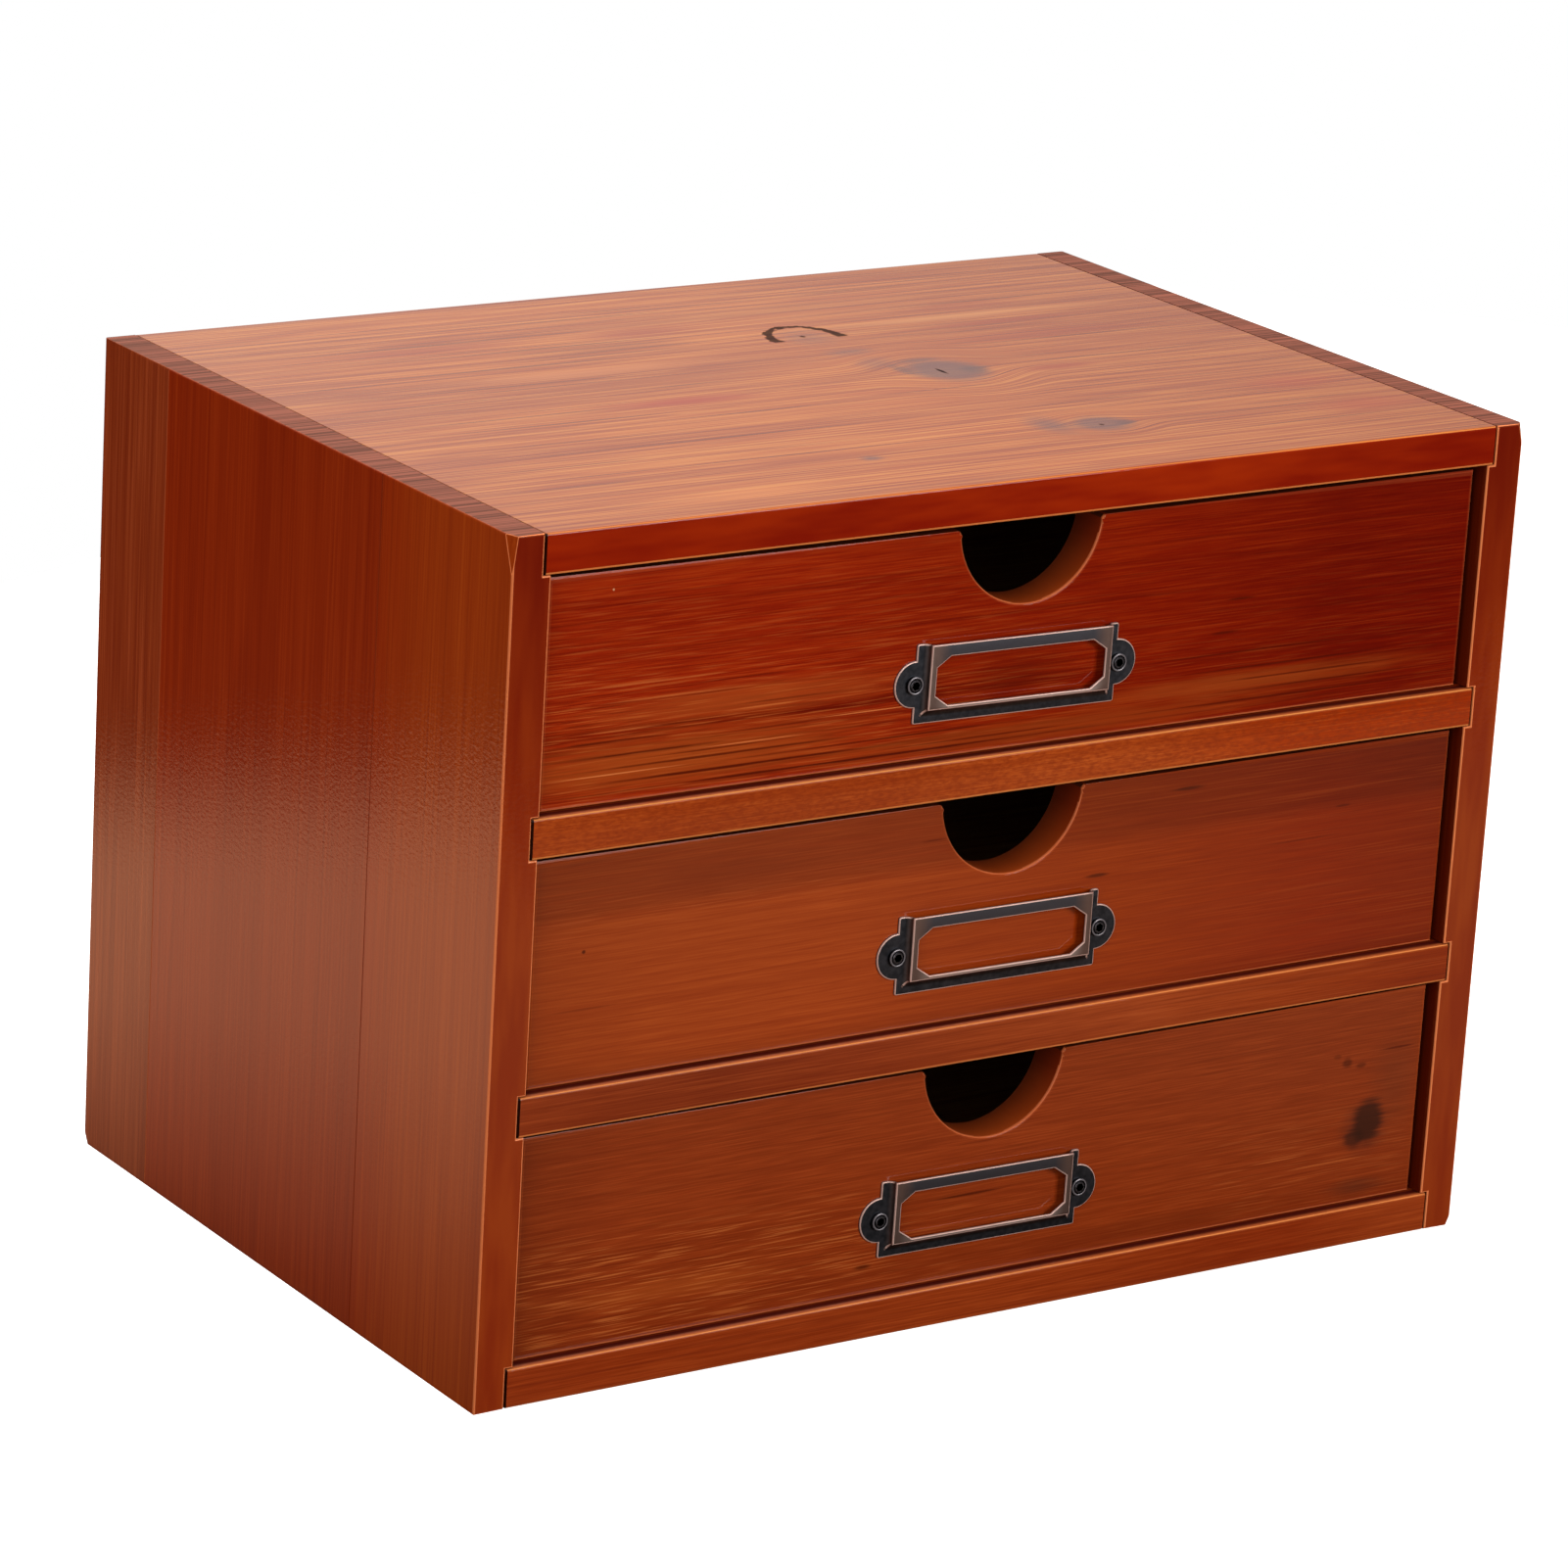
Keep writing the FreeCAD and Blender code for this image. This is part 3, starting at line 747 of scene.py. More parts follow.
bpy.ops.mesh.select_mode(type="FACE")
for hand in (-1, 1):
    bisect_picked(in_field, (hand * window_x, 0, 0), (1, 0, 0))
for level in (window_low, window_high):
    bisect_picked(in_field, (0, 0, level), (0, 0, 1))
for hand in (-1, 1):
    for level, sign in ((window_low, -1), (window_high, 1)):
        corner = (hand * (window_x - WINDOW_RUN), 0, level)
        slant = Vector((hand * WINDOW_RISE, 0, sign * WINDOW_RUN)).normalized()
        bisect_picked(in_window, corner, slant)
bpy.ops.mesh.select_all(action="DESELECT")
pick(holder, "faces", lambda a, b: in_window(a, b) and a.x < 0 < b.x)
bpy.ops.mesh.delete(type="FACE")
bpy.ops.mesh.select_all(action="DESELECT")
bpy.ops.object.mode_set(mode="OBJECT")
print("window", round(2 * window_x, 1), "by", round(window_high - window_low, 1), "mm")

# %% Give the sheet its thickness
wall = holder.modifiers.new("wall", "SOLIDIFY")
wall.thickness = SHEET * MM
wall.use_even_offset = True
open_piece(holder, "FACE")
bpy.ops.mesh.select_all(action="SELECT")
bpy.ops.mesh.normals_make_consistent(inside=False)
mesh = bmesh.from_edit_mesh(holder.data)
if sum(face.normal.y * face.calc_area() for face in mesh.faces) > 0:
    bpy.ops.mesh.flip_normals()
bpy.ops.object.mode_set(mode="OBJECT")
wall.offset = 1
bpy.ops.object.modifier_apply(modifier=wall.name)
open_piece(holder, "FACE")
bpy.ops.mesh.select_all(action="SELECT")
bpy.ops.mesh.dissolve_limited(angle_limit=math.radians(0.5))
close_piece()
reach = [min(vert.co.y for vert in holder.data.vertices) / MM,
         max(vert.co.y for vert in holder.data.vertices) / MM]
print("sheet from", reach)

# %% Ease its outer edges
HOLDER_EDGE = 0.36
SHARP = math.radians(24)
FORWARD = -0.2


def ease_sheet(piece):
    """Bevel every sharp outward edge of the front skin, and mark it as bare plating with a painted
    highlight.
    """
    open_piece(piece, "EDGE")
    mesh = bmesh.from_edit_mesh(piece.data)
    for edge in mesh.edges:
        outwards = len(edge.link_faces) == 2 and edge.is_convex
        front_skin = all(vert.co.y < -SHEET * MM + TOUCH * MM for vert in edge.verts)
        showing = any(face.normal.y < FORWARD for face in edge.link_faces)
        if outwards and front_skin and showing and edge.calc_face_angle() > SHARP:
            edge.select_set(True)
    count = sum(edge.select for edge in mesh.edges)
    bmesh.update_edit_mesh(piece.data)
    bpy.ops.mesh.bevel(offset=HOLDER_EDGE * MM, segments=2, affect="EDGES")
    mesh = bmesh.from_edit_mesh(piece.data)
    wear_highlight_shade = mesh.faces.layers.float.new("wear_highlight_shade")
    for face in mesh.faces:
        if face.select:
            face[wear_highlight_shade] = wear_and_highlight_share(face)
    bmesh.update_edit_mesh(piece.data)
    close_piece()
    return count


print("eased", ease_sheet(holder), "edges of the holder")

# %% [markdown]
# ## Screws
# The holder is held by two button-head screws with a hexagon socket. The head is turned: a
# profile is walked out point by point and swung full circle by the spin tool. The socket is
# a hexagon whose sides are divided so that it has as many points as the head's inner
# circle, which lets the bridge tool join the two with a clean ring of faces.

# %% One screw, its head seated on the holder's ear
SCREW_SIDES = 36
SOCKET_SIDES = 6
SOCKET_ACROSS = 2.4
SOCKET_DEPTH = 1.0
HEAD_PROFILE = [(1.0, 0.0), (2.7, 0.0), (2.7, -0.8), (2.62, -1.0), (2.42, -1.08), (2.2, -1.02),
                (2.1, -0.86), (1.85, -0.86), (1.72, -1.12), (1.62, -1.2), (1.48, -1.2)]
# A painted highlight on the rim of the head and at the edge of its top.
RIM_HIGHLIGHT = {(2.42, -1.08): 1.0, (2.62, -1.0): 0.7, (1.62, -1.2): 0.5}
SHANK_PROFILE = [(0.0, 9.2), (0.35, 8.8), (1.0, 7.6)]
turned_profile = SHANK_PROFILE + HEAD_PROFILE
screw = start_at("turned_screw", (turned_profile[0][0], turned_profile[0][1], 0))
walk([(end[0] - start[0], end[1] - start[1], 0)
      for start, end in zip(turned_profile, turned_profile[1:])])
bpy.ops.mesh.select_all(action="SELECT")
bpy.ops.mesh.spin(steps=SCREW_SIDES, angle=2 * math.pi, center=(0, 0, 0), axis=(0, 1, 0))
bpy.ops.mesh.select_all(action="SELECT")
bpy.ops.mesh.remove_doubles(threshold=TOUCH * MM)
bpy.ops.mesh.select_all(action="DESELECT")
head_top = HEAD_PROFILE[-1][1]
socket_radius = SOCKET_ACROSS / 2 / math.cos(math.pi / SOCKET_SIDES)
bpy.ops.mesh.primitive_circle_add(vertices=SOCKET_SIDES, radius=socket_radius * MM,
                                  location=(0, head_top * MM, 0), rotation=(math.pi / 2, 0, 0))
bpy.ops.mesh.subdivide(number_cuts=SCREW_SIDES // SOCKET_SIDES - 1)
bpy.ops.mesh.select_all(action="DESELECT")
bpy.ops.mesh.select_mode(type="EDGE")
pick(screw, "edges", lambda a, b: at(a.y, head_top) and at(b.y, head_top))
bpy.ops.mesh.bridge_edge_loops()
bpy.ops.mesh.select_all(action="DESELECT")
mesh = bmesh.from_edit_mesh(screw.data)
for edge in mesh.edges:
    if len(edge.link_faces) == 1:
        edge.select_set(True)
bmesh.update_edit_mesh(screw.data)
depth = Vector((0, SOCKET_DEPTH, 0)) * MM
bpy.ops.mesh.extrude_region_move(TRANSFORM_OT_translate={"value": depth})
bpy.ops.mesh.edge_face_add()
mesh = bmesh.from_edit_mesh(screw.data)
wear_highlight_shade = mesh.faces.layers.float.new("wear_highlight_shade")
for face in mesh.faces:
    rings = {(round(math.hypot(vert.co.x, vert.co.z) / MM, 2), round(vert.co.y / MM, 2))
             for vert in face.verts}
    face[wear_highlight_shade] = max((RIM_HIGHLIGHT.get(ring, 0) for ring in rings), default=0)
bmesh.update_edit_mesh(screw.data)
close_piece()
print("screw of", len(screw.data.polygons), "faces")

# %% [markdown]
# ## Put holders and screws on the drawers
# The holder and the screw were modelled at the origin. Each copy is turned by its own small
# tilt, moved to the drawer front, and has its place applied to its mesh, so that it stands
# exactly on its solid. The tilts are the ones seen on the real chest, clockwise from the
# front.

# %% Copy, tilt and place
HOLDER_MIDDLE = sum(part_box("drawer_top_label_holder")[side].x for side in (0, 1)) / 2 / MM
HOLDER_LEVEL = 22.5
DRAWER_PITCH = (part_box("drawer_top_front")[0].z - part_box("drawer_middle_front")[0].z) / MM
HOLDER_TILT = {"bottom": 0.5, "middle": 0.3, "top": 0.8}
SCREW_OFFSET = 0.4
SCREW_REACH = half_width + SCREW_OFFSET
SCREW_TURN = {"left": -6, "right": 28}
TURN_PER_DRAWER = 40
holders = {}
screws = {}
for drawer in DRAWERS:
    node = f"drawer_{drawer}_label_holder"
    low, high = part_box(node)
    centre = Vector(((low.x + high.x) / 2, front_face_y * MM, (low.z + high.z) / 2))
    tilt = Matrix.Rotation(math.radians(HOLDER_TILT[drawer]), 4, "Y")
    place = Matrix.Translation(centre) @ tilt
    copy = same_again(holder, f"{drawer}_label_frame", (0, 0, 0))
    copy.data.transform(place)
    holders[drawer] = copy
    finish(copy, f"drawer_{drawer}", [node])
    pair = []
    for hand, hand_name in ((-1, "left"), (1, "right")):
        seat = Matrix.Translation(Vector((hand * SCREW_REACH, -SHEET, 0)) * MM)
        turn = SCREW_TURN[hand_name] + TURN_PER_DRAWER * DRAWERS.index(drawer)
        turned = Matrix.Rotation(math.radians(turn), 4, "Y")
        copy = same_again(screw, f"{drawer}_{hand_name}_screw", (0, 0, 0))
        copy.data.transform(place @ seat @ turned)
        finish(copy, f"drawer_{drawer}", [f"drawer_{drawer}_label_screws"])
        pair.append(copy)
    screws[drawer] = pair
for original in (holder, screw):
    bpy.data.objects.remove(original)

# %% [markdown]
# ## Materials from nodes
# One function adds a node: it sets the node's own properties, fills or links its inputs,
# and gives back an output to link on. Short ones stand for the nodes that are used most.
# Colours are written as sRGB hex, the way they are read off a picture, and one function
# turns them into the linear values that a shader needs.

# %% Add a node, read a colour
def linear(code):
    """A linear RGBA colour from sRGB hex."""
    channels = [int(code[place:place + 2], 16) / 255 for place in (1, 3, 5)]
    curved = [c / 12.92 if c <= 0.04045 else ((c + 0.055) / 1.055) ** 2.4 for c in channels]
    return (*curved, 1.0)


def add(tree, kind, values=None, out=0, stops=None, **settings):
    """Add a node to a tree, with inputs that are constants or sockets, and return an output."""
    made = tree.nodes.new("ShaderNode" + kind)
    for name, value in settings.items():
        setattr(made, name, value)
    for name, value in (values or {}).items():
        if isinstance(value, bpy.types.NodeSocket):
            tree.links.new(value, made.inputs[name])
        else:
            made.inputs[name].default_value = value
    if stops:
        points = made.color_ramp.elements
        while len(points) < len(stops):
            points.new(1.0)
        for point, (place, colour) in zip(points, stops):
            point.position = place
            point.color = linear(colour) if isinstance(colour, str) else (colour,) * 3 + (1,)
    return made.outputs[out] if made.outputs else None


def maths(tree, operation, *values):
    """A Math node on one, two or three values."""
    return add(tree, "Math", dict(enumerate(values)), operation=operation)


def between(tree, value, start, end, below=0.0, above=1.0, **settings):
    """A Map Range node: below at the start, above at the end, and held outside them."""
    limits = {0: value, 1: start, 2: end, 3: below, 4: above}
    return add(tree, "MapRange", limits, **settings)


def ramp(tree, value, stops):
    """A colour ramp over a value."""
    return add(tree, "ValToRGB", {0: value}, stops=stops)


def two_tones(tree, noise, tones, spread=0.15):
    """One tone where a noise is low and the other where it is high."""
    return ramp(tree, noise, [(0.5 - spread, tones[0]), (0.5 + spread, tones[1])])


def blend(tree, share, below, above, how="MIX"):
    """Mix two colours by a share."""
    below = linear(below) if isinstance(below, str) else below
    above = linear(above) if isinstance(above, str) else above
    return add(tree, "Mix", {0: share, 6: below, 7: above}, out=2, data_type="RGBA",
               blend_type=how)


def axes_of(tree, vector):
    """The three parts of a vector, by the names X, Y and Z."""
    return add(tree, "SeparateXYZ", {0: vector}).node.outputs


def length_of(tree, vector):
    """The length of a vector."""
    return add(tree, "VectorMath", {0: vector}, out="Value", operation="LENGTH")


def place_in_mm(tree):
    """The place of a point on the chest, in millimetres."""
    spot = add(tree, "TexCoord", out="Object")
    return add(tree, "VectorMath", {0: spot, "Scale": 1 / MM}, operation="SCALE")


def new_material(name):
    """A material with an empty node tree."""
    material = bpy.data.materials.new(name)
    material.use_nodes = True
    tree = material.node_tree
    tree.nodes.clear()
    return material, tree


def surface(tree, values):
    """Close a tree with a Principled surface."""
    shader = add(tree, "BsdfPrincipled", values)
    add(tree, "OutputMaterial", {"Surface": shader})


def wear_material(piece, material):
    """Give a piece one material only."""
    piece.data.materials.clear()
    piece.data.materials.append(material)


# %% [markdown]
# ## Stained fir under satin varnish
# Fir shows broad pale earlywood and narrow dark latewood. A board is a flat slice through
# the tree's rings, so the pattern is made as the tree makes it: the distance from the heart
# of the trunk, divided into rings a few millimetres wide, with a soft rise to the latewood
# and a sharp end. Fibres run far along the board as long, nearly straight streaks, and knots
# push the grain aside. The stain is a deep red brown, darker on end grain and thin on eased
# edges, where a highlight is also painted, and some faces get painted light and shade. A
# varnish coat over it gives the clear reflections, and its slight ripple across the grain
# breaks up their edges.

# %% Place of a point in the board, with knots
def in_mark(tree, flat, mark):
    """A place seen from a mark's middle, in units of its half length and half width."""
    turned = (0, 0, math.radians(mark.get("turn", 0)))
    return add(tree, "Mapping", {"Vector": flat, "Location": (*mark["at"], 0),
                                 "Rotation": turned, "Scale": (*mark["size"], 1)},
               vector_type="TEXTURE")


def bent_grain(tree, look):
    """Along, across and depth in millimetres, bent round the knots, and the same unbent."""
    axes = axes_of(tree, place_in_mm(tree))
    grain, across = look["grain"], look["across"]
    depth = next(axis for axis in "XYZ" if axis not in (grain, across))
    flat = add(tree, "CombineXYZ", {0: axes[grain], 1: axes[across], 2: 0.0})
    level = axes[across]
    for knot in look.get("knots", ()):
        near = length_of(tree, in_mark(tree, flat, knot))
        push = between(tree, near, 0.3, knot["reach"], 0.75, 0.0,
                       interpolation_type="SMOOTHERSTEP")
        off = maths(tree, "SUBTRACT", level, knot["at"][1])
        moved = maths(tree, "MULTIPLY", off, push)
        level = maths(tree, "SUBTRACT", level, moved)
    return add(tree, "CombineXYZ", {0: axes[grain], 1: level, 2: axes[depth]}), flat


# %% Streaks and rings
RING_STOPS = [(0.0, 0.0), (0.35, 0.04), (0.62, 0.28), (0.84, 1.0), (0.93, 0.85), (1.0, 0.0)]
UNEVEN_RINGS = 3.0


def streaks(tree, board, length, width, seed, detail=2.0):
    """Noise drawn out along the grain, with streaks of a length and width in millimetres."""
    stretched = add(tree, "VectorMath", {0: board, 1: (1 / length, 1 / width, 1 / width),
                                         2: (seed, 1.7 * seed, 0.3 * seed)},
                    operation="MULTIPLY_ADD")
    return add(tree, "TexNoise", {"Vector": stretched, "Scale": 1.0, "Detail": detail,
                                  "Roughness": 0.55})


def growth_rings(tree, board, look):
    """Latewood, 0 in earlywood and 1 on the dark line, from the distance to the heart."""
    slow = streaks(tree, board, 260, 40, look["seed"] + 3, 1.0)
    quick = streaks(tree, board, 45, 5, look["seed"] + 5, 1.0)
    wander = maths(tree, "MULTIPLY", slow, look["wander"])
    wander = maths(tree, "MULTIPLY_ADD", quick, look["ripple"], wander)
    heart = (0, -look["heart"][0], -look["heart"][1])
    section = add(tree, "VectorMath", {0: board, 1: (0, 1, 1), 2: heart},
                  operation="MULTIPLY_ADD")
    radius = maths(tree, "ADD", length_of(tree, section), wander)
    uneven = add(tree, "TexNoise", {"W": radius, "Scale": 0.11, "Detail": 1.0},
                 noise_dimensions="1D")
    turns = maths(tree, "MULTIPLY", radius, 1 / look["ring"])
    turns = maths(tree, "MULTIPLY_ADD", uneven, UNEVEN_RINGS, turns)
    return ramp(tree, maths(tree, "FRACT", turns), RING_STOPS)


# %% Colour of the stained wood
FINE, MEDIUM, BROAD = 0.75, 0.12, 0.15
LEVEL_WAVE = 2.0


def fibre_tones(tree, board, look):
    """The tones of the stain in streaks, and the fine and the medium streaks alone."""
    seed = look["seed"]
    fine = streaks(tree, board, look["fibre"], look["fibre_width"], seed)
    medium = streaks(tree, board, 120, 1.4, seed + 11)
    broad = streaks(tree, board, 260, 8, seed + 23)
    mixed = maths(tree, "MULTIPLY", fine, FINE)
    mixed = maths(tree, "MULTIPLY_ADD", medium, MEDIUM, mixed)
    mixed = maths(tree, "MULTIPLY_ADD", broad, BROAD, mixed)
    middle = (FINE + MEDIUM + BROAD) / 2
    tone = between(tree, mixed, middle - look["spread"], middle + look["spread"])
    dark, body, light = look["tones"]
    return ramp(tree, tone, [(0.0, dark), (0.5, body), (1.0, light)]), fine, medium


def shaded(tree, colour, flat, medium, look):
    """The colour shaded over the board's width and length, and both places as shares."""
    places = axes_of(tree, flat)
    tilted = maths(tree, "MULTIPLY_ADD", places[0], look["level_slope"], places[1])
    tilted = maths(tree, "MULTIPLY_ADD", medium, LEVEL_WAVE, tilted)
    level = between(tree, tilted, *look["span"])
    along = between(tree, places[0], *look["reach"])
    for share, stops in ((level, look["shade"]), (along, look["drift"])):
        colour = blend(tree, 1.0, colour, ramp(tree, share, stops), "MULTIPLY")
    return colour, level, along


def late_share(tree, board, level, along, medium, look):
    """How dark the latewood is: by the ring, by the place on the board, and in streaks."""
    late = growth_rings(tree, board, look)
    strength = ramp(tree, level, look["ring_strength"])
    fade = ramp(tree, along, look["ring_fade"])
    broken = between(tree, medium, 0.3, 0.6, 0.35, 1.0)
    for part in (strength, fade, broken):
        late = maths(tree, "MULTIPLY", late, part)
    return late


def raised_fibres(tree, board, level, along, colour, look):
    """Short raised fibres, light where their noise is high and dark where it is low."""
    levels, reaches, light = look["raised"]
    where = maths(tree, "MULTIPLY", ramp(tree, level, levels), ramp(tree, along, reaches))
    fibres = streaks(tree, board, 20, 0.5, look["seed"] + 83, 1.0)
    for edge, full, tone in ((0.56, 0.68, light), (0.44, 0.32, look["late"])):
        cover = maths(tree, "MULTIPLY", between(tree, fibres, edge, full), where)
        colour = blend(tree, cover, colour, tone)
    return colour


def wood_colour(tree, board, flat, look):
    """The stained colour, and a height for the bump."""
    seed = look["seed"]
    colour, fine, medium = fibre_tones(tree, board, look)
    colour, level, along = shaded(tree, colour, flat, medium, look)
    late = late_share(tree, board, level, along, medium, look)
    colour = blend(tree, late, colour, look["late"])
    lines = streaks(tree, board, 170, 1.5, seed + 31, 0.0)
    lines = between(tree, lines, 0.62, 0.74, 0.0, look["lines"])
    colour = blend(tree, lines, colour, look["late"])
    pale = streaks(tree, board, 40, 0.5, seed + 41, 0.0)
    pale = between(tree, pale, 0.6, 0.76, 0.0, look["pale"])
    colour = blend(tree, pale, colour, look["tones"][-1])
    if "raised" in look:
        colour = raised_fibres(tree, board, level, along, colour, look)
    if look["fleck"]:
        fleck = add(tree, "Mapping", {"Vector": board, "Rotation": (0, 0, math.radians(35)),
                                      "Scale": (0.5, 1.5, 1.0)})
        fleck = add(tree, "TexNoise", {"Vector": fleck, "Scale": 1.0, "Detail": 3.0})
        fleck = between(tree, fleck, 0.36, 0.62, look["fleck"], 0.0)
        colour = blend(tree, fleck, colour, look["late"])
    return colour, maths(tree, "SUBTRACT", fine, late)


# %% Knots, pitch and marks
PITCH = "#3c0c02"
CRACK = "#180c0c"


def streak(start, end, level, half_width, colour, strength=0.7):
    """A mark drawn out along the grain from one place to another."""
    return {"at": ((start + end) / 2, level), "size": ((end - start) / 2, half_width),
            "colour": colour, "strength": strength, "soft": 0.7, "ragged": 1.0}


def streak_rows(*rows):
    """One streak for each row of its values."""
    return [streak(*row) for row in rows]


def spot_mark(along, across, half_length, half_width, colour, strength=0.8, soft=0.6, turn=0):
    """A small mark at a place."""
    return {"at": (along, across), "size": (half_length, half_width), "colour": colour,
            "strength": strength, "soft": soft, "ragged": 0.6, "turn": turn}


def draw_marks(tree, colour, board, flat, look):
    """Knots, pitch streaks and small marks, soft at the edge, and where cracks are bare."""
    ragged = streaks(tree, board, 22, 1.3, 90)
    bare = None
    for mark in (*look.get("knots", ()), *look.get("marks", ())):
        near = length_of(tree, in_mark(tree, flat, mark))
        near = maths(tree, "MULTIPLY_ADD", ragged, mark["ragged"], near)
        rim = 1.0 + mark["ragged"] / 2
        cover = between(tree, near, rim - mark["soft"], rim, mark["strength"], 0.0,
                        interpolation_type="SMOOTHSTEP")
        colour = blend(tree, cover, colour, mark["colour"])
        if mark["colour"] == CRACK:
            bare = maths(tree, "MAXIMUM", cover, bare or 0.0)
    return colour, bare


def draw_bark_ring(tree, colour, flat, ring):
    """Half a ring of dark bark, left by a loose knot, thick at its ends and thin on top."""
    local = in_mark(tree, flat, ring)
    height = axes_of(tree, local)["Y"]
    wobble = add(tree, "TexNoise", {"Vector": flat, "Scale": 0.35, "Detail": 2.0})
    wobble = between(tree, wobble, 0.0, 1.0, -1.15, -0.85)
    off = maths(tree, "ABSOLUTE", maths(tree, "ADD", length_of(tree, local), wobble))
    wide = between(tree, height, 0.0, 1.0, ring["ends"], ring["crown"])
    near = maths(tree, "DIVIDE", off, wide)
    cover = between(tree, near, 0.7, 1.3, 0.9, 0.0, interpolation_type="SMOOTHSTEP")
    cover = maths(tree, "MULTIPLY", cover, between(tree, height, -0.16, -0.06))
    return blend(tree, cover, colour, ring["colour"]), cover


# %% [markdown]
# Some faces of a board take the stain in their own way, and some get painted light and
# shade. Its front edge has deeper tones than its broad face, which are painted shade, end
# grain drinks more stain, and an arris is rubbed thin and given a painted highlight. The
# sides' inner faces get painted shade, the notch's wall painted light, and the strip in
# front of the drawers a painted lit rim with shadow behind it. Each is found by the way the
# face looks, by its place, or by the attribute on the eased edges.

# %% Faces and edges with their own tone
NOTCH_LIGHT_TONES = ("#80280c", "#b04818")
NOTCH_LIT_DEPTH = 16.0
LEDGE_LIGHT_AND_SHADOW_TONES = ("#b85c30", "#48100a")
LEDGE_LIT_FROM, LEDGE_LIT_TO = -118.7, -117.2
JOINT_SHADE_TONE = "#1a0400"


def shade_forward_faces(tree, colour, board, flat, normal, look):
    """Painted shade: deeper, redder tones on the faces that look forward."""
    front = between(tree, axes_of(tree, normal)["Y"], -0.6, -0.9)
    cloud = streaks(tree, board, 40, 6, look["seed"] + 51)
    tones = two_tones(tree, cloud, look["forward_shade_tones"])
    along = between(tree, axes_of(tree, flat)["X"], *look["reach"])
    tones = blend(tree, 1.0, tones, ramp(tree, along, look["forward_shade_drift"]), "MULTIPLY")
    return blend(tree, front, colour, tones)


def end_grain_share(tree, normal, look):
    """1 on the faces that cut the fibres across, or on all but the broad ones of a front."""
    facing = axes_of(tree, add(tree, "VectorMath", {0: normal}, operation="ABSOLUTE"))
    if look.get("walls"):
        across = maths(tree, "SUBTRACT", 1.0, facing["Y"])
    else:
        across = facing[look["grain"]]
    return between(tree, across, 0.75, 0.95)


def paint_shade_inwards(tree, colour, board, normal, look):
    """Painted shade on the faces of the sides that look into the chest."""
    outwards = maths(tree, "MULTIPLY", axes_of(tree, normal)["X"], axes_of(tree, board)["Z"])
    inwards = between(tree, outwards, -80, -150)
    return blend(tree, inwards, colour, look["inward_painted_shade"], "MULTIPLY")


def paint_light_in_notch(tree, colour, board, flat, normal, look):
    """Painted light on the notch's lower wall: lighter towards the front and where it looks up."""
    aside = maths(tree, "ABSOLUTE", axes_of(tree, flat)["X"])
    share = maths(tree, "LESS_THAN", aside, look["notch"])
    turned = axes_of(tree, normal)
    frontal = maths(tree, "ABSOLUTE", turned["Y"])
    depth = axes_of(tree, board)["Z"]
    for value, start, end in ((frontal, 0.4, 0.2), (turned["Z"], -0.5, -0.3),
                              (depth, front_face_y + NOTCH_LIT_DEPTH, front_face_y)):
        share = maths(tree, "MULTIPLY", share, between(tree, value, start, end))
    rising = between(tree, turned["Z"], 0.3, 0.9)
    return blend(tree, share, colour, blend(tree, rising, *NOTCH_LIGHT_TONES))


def paint_ledge_light_and_shadow(tree, colour, board, normal):
    """Painted light and shadow on the strip of a board in front of the drawers: light at its rim
    and the drawers' shadow behind it.
    """
    depth = axes_of(tree, board)["Z"]
    in_front = between(tree, depth, front_face_y + 0.5, front_face_y)
    upwards = between(tree, axes_of(tree, normal)["Z"], 0.9, 0.97)
    ledge_light_and_shadow = maths(tree, "MULTIPLY", upwards, in_front)
    rim = between(tree, depth, LEDGE_LIT_FROM, LEDGE_LIT_TO)
    return blend(tree, ledge_light_and_shadow, colour, blend(tree, rim, *LEDGE_LIGHT_AND_SHADOW_TONES)), ledge_light_and_shadow


def edge_wear_highlight_and_shade(tree, colour, height, look):
    """Thin stain with a painted highlight on the arrises and painted shade in the seams and
    joints, and where each of them is.
    """
    edge = add(tree, "Attribute", attribute_name="wear_highlight_shade", out="Fac")
    patchy = between(tree, height, -0.3, 0.6, 0.7, 1.0)
    wear_highlight_shade = maths(tree, "MULTIPLY", between(tree, edge, 0.2, 1.0), patchy)
    colour = blend(tree, wear_highlight_shade, colour, look["arris"])
    rubbed_and_highlit = between(tree, edge, 0.0, 0.3)
    joint_shade = between(tree, edge, 0.0, JOINT_SHADE)
    return blend(tree, joint_shade, colour, JOINT_SHADE_TONE), rubbed_and_highlit, joint_shade


# %% The whole material
DULL_COAT_SHARE = 0.2


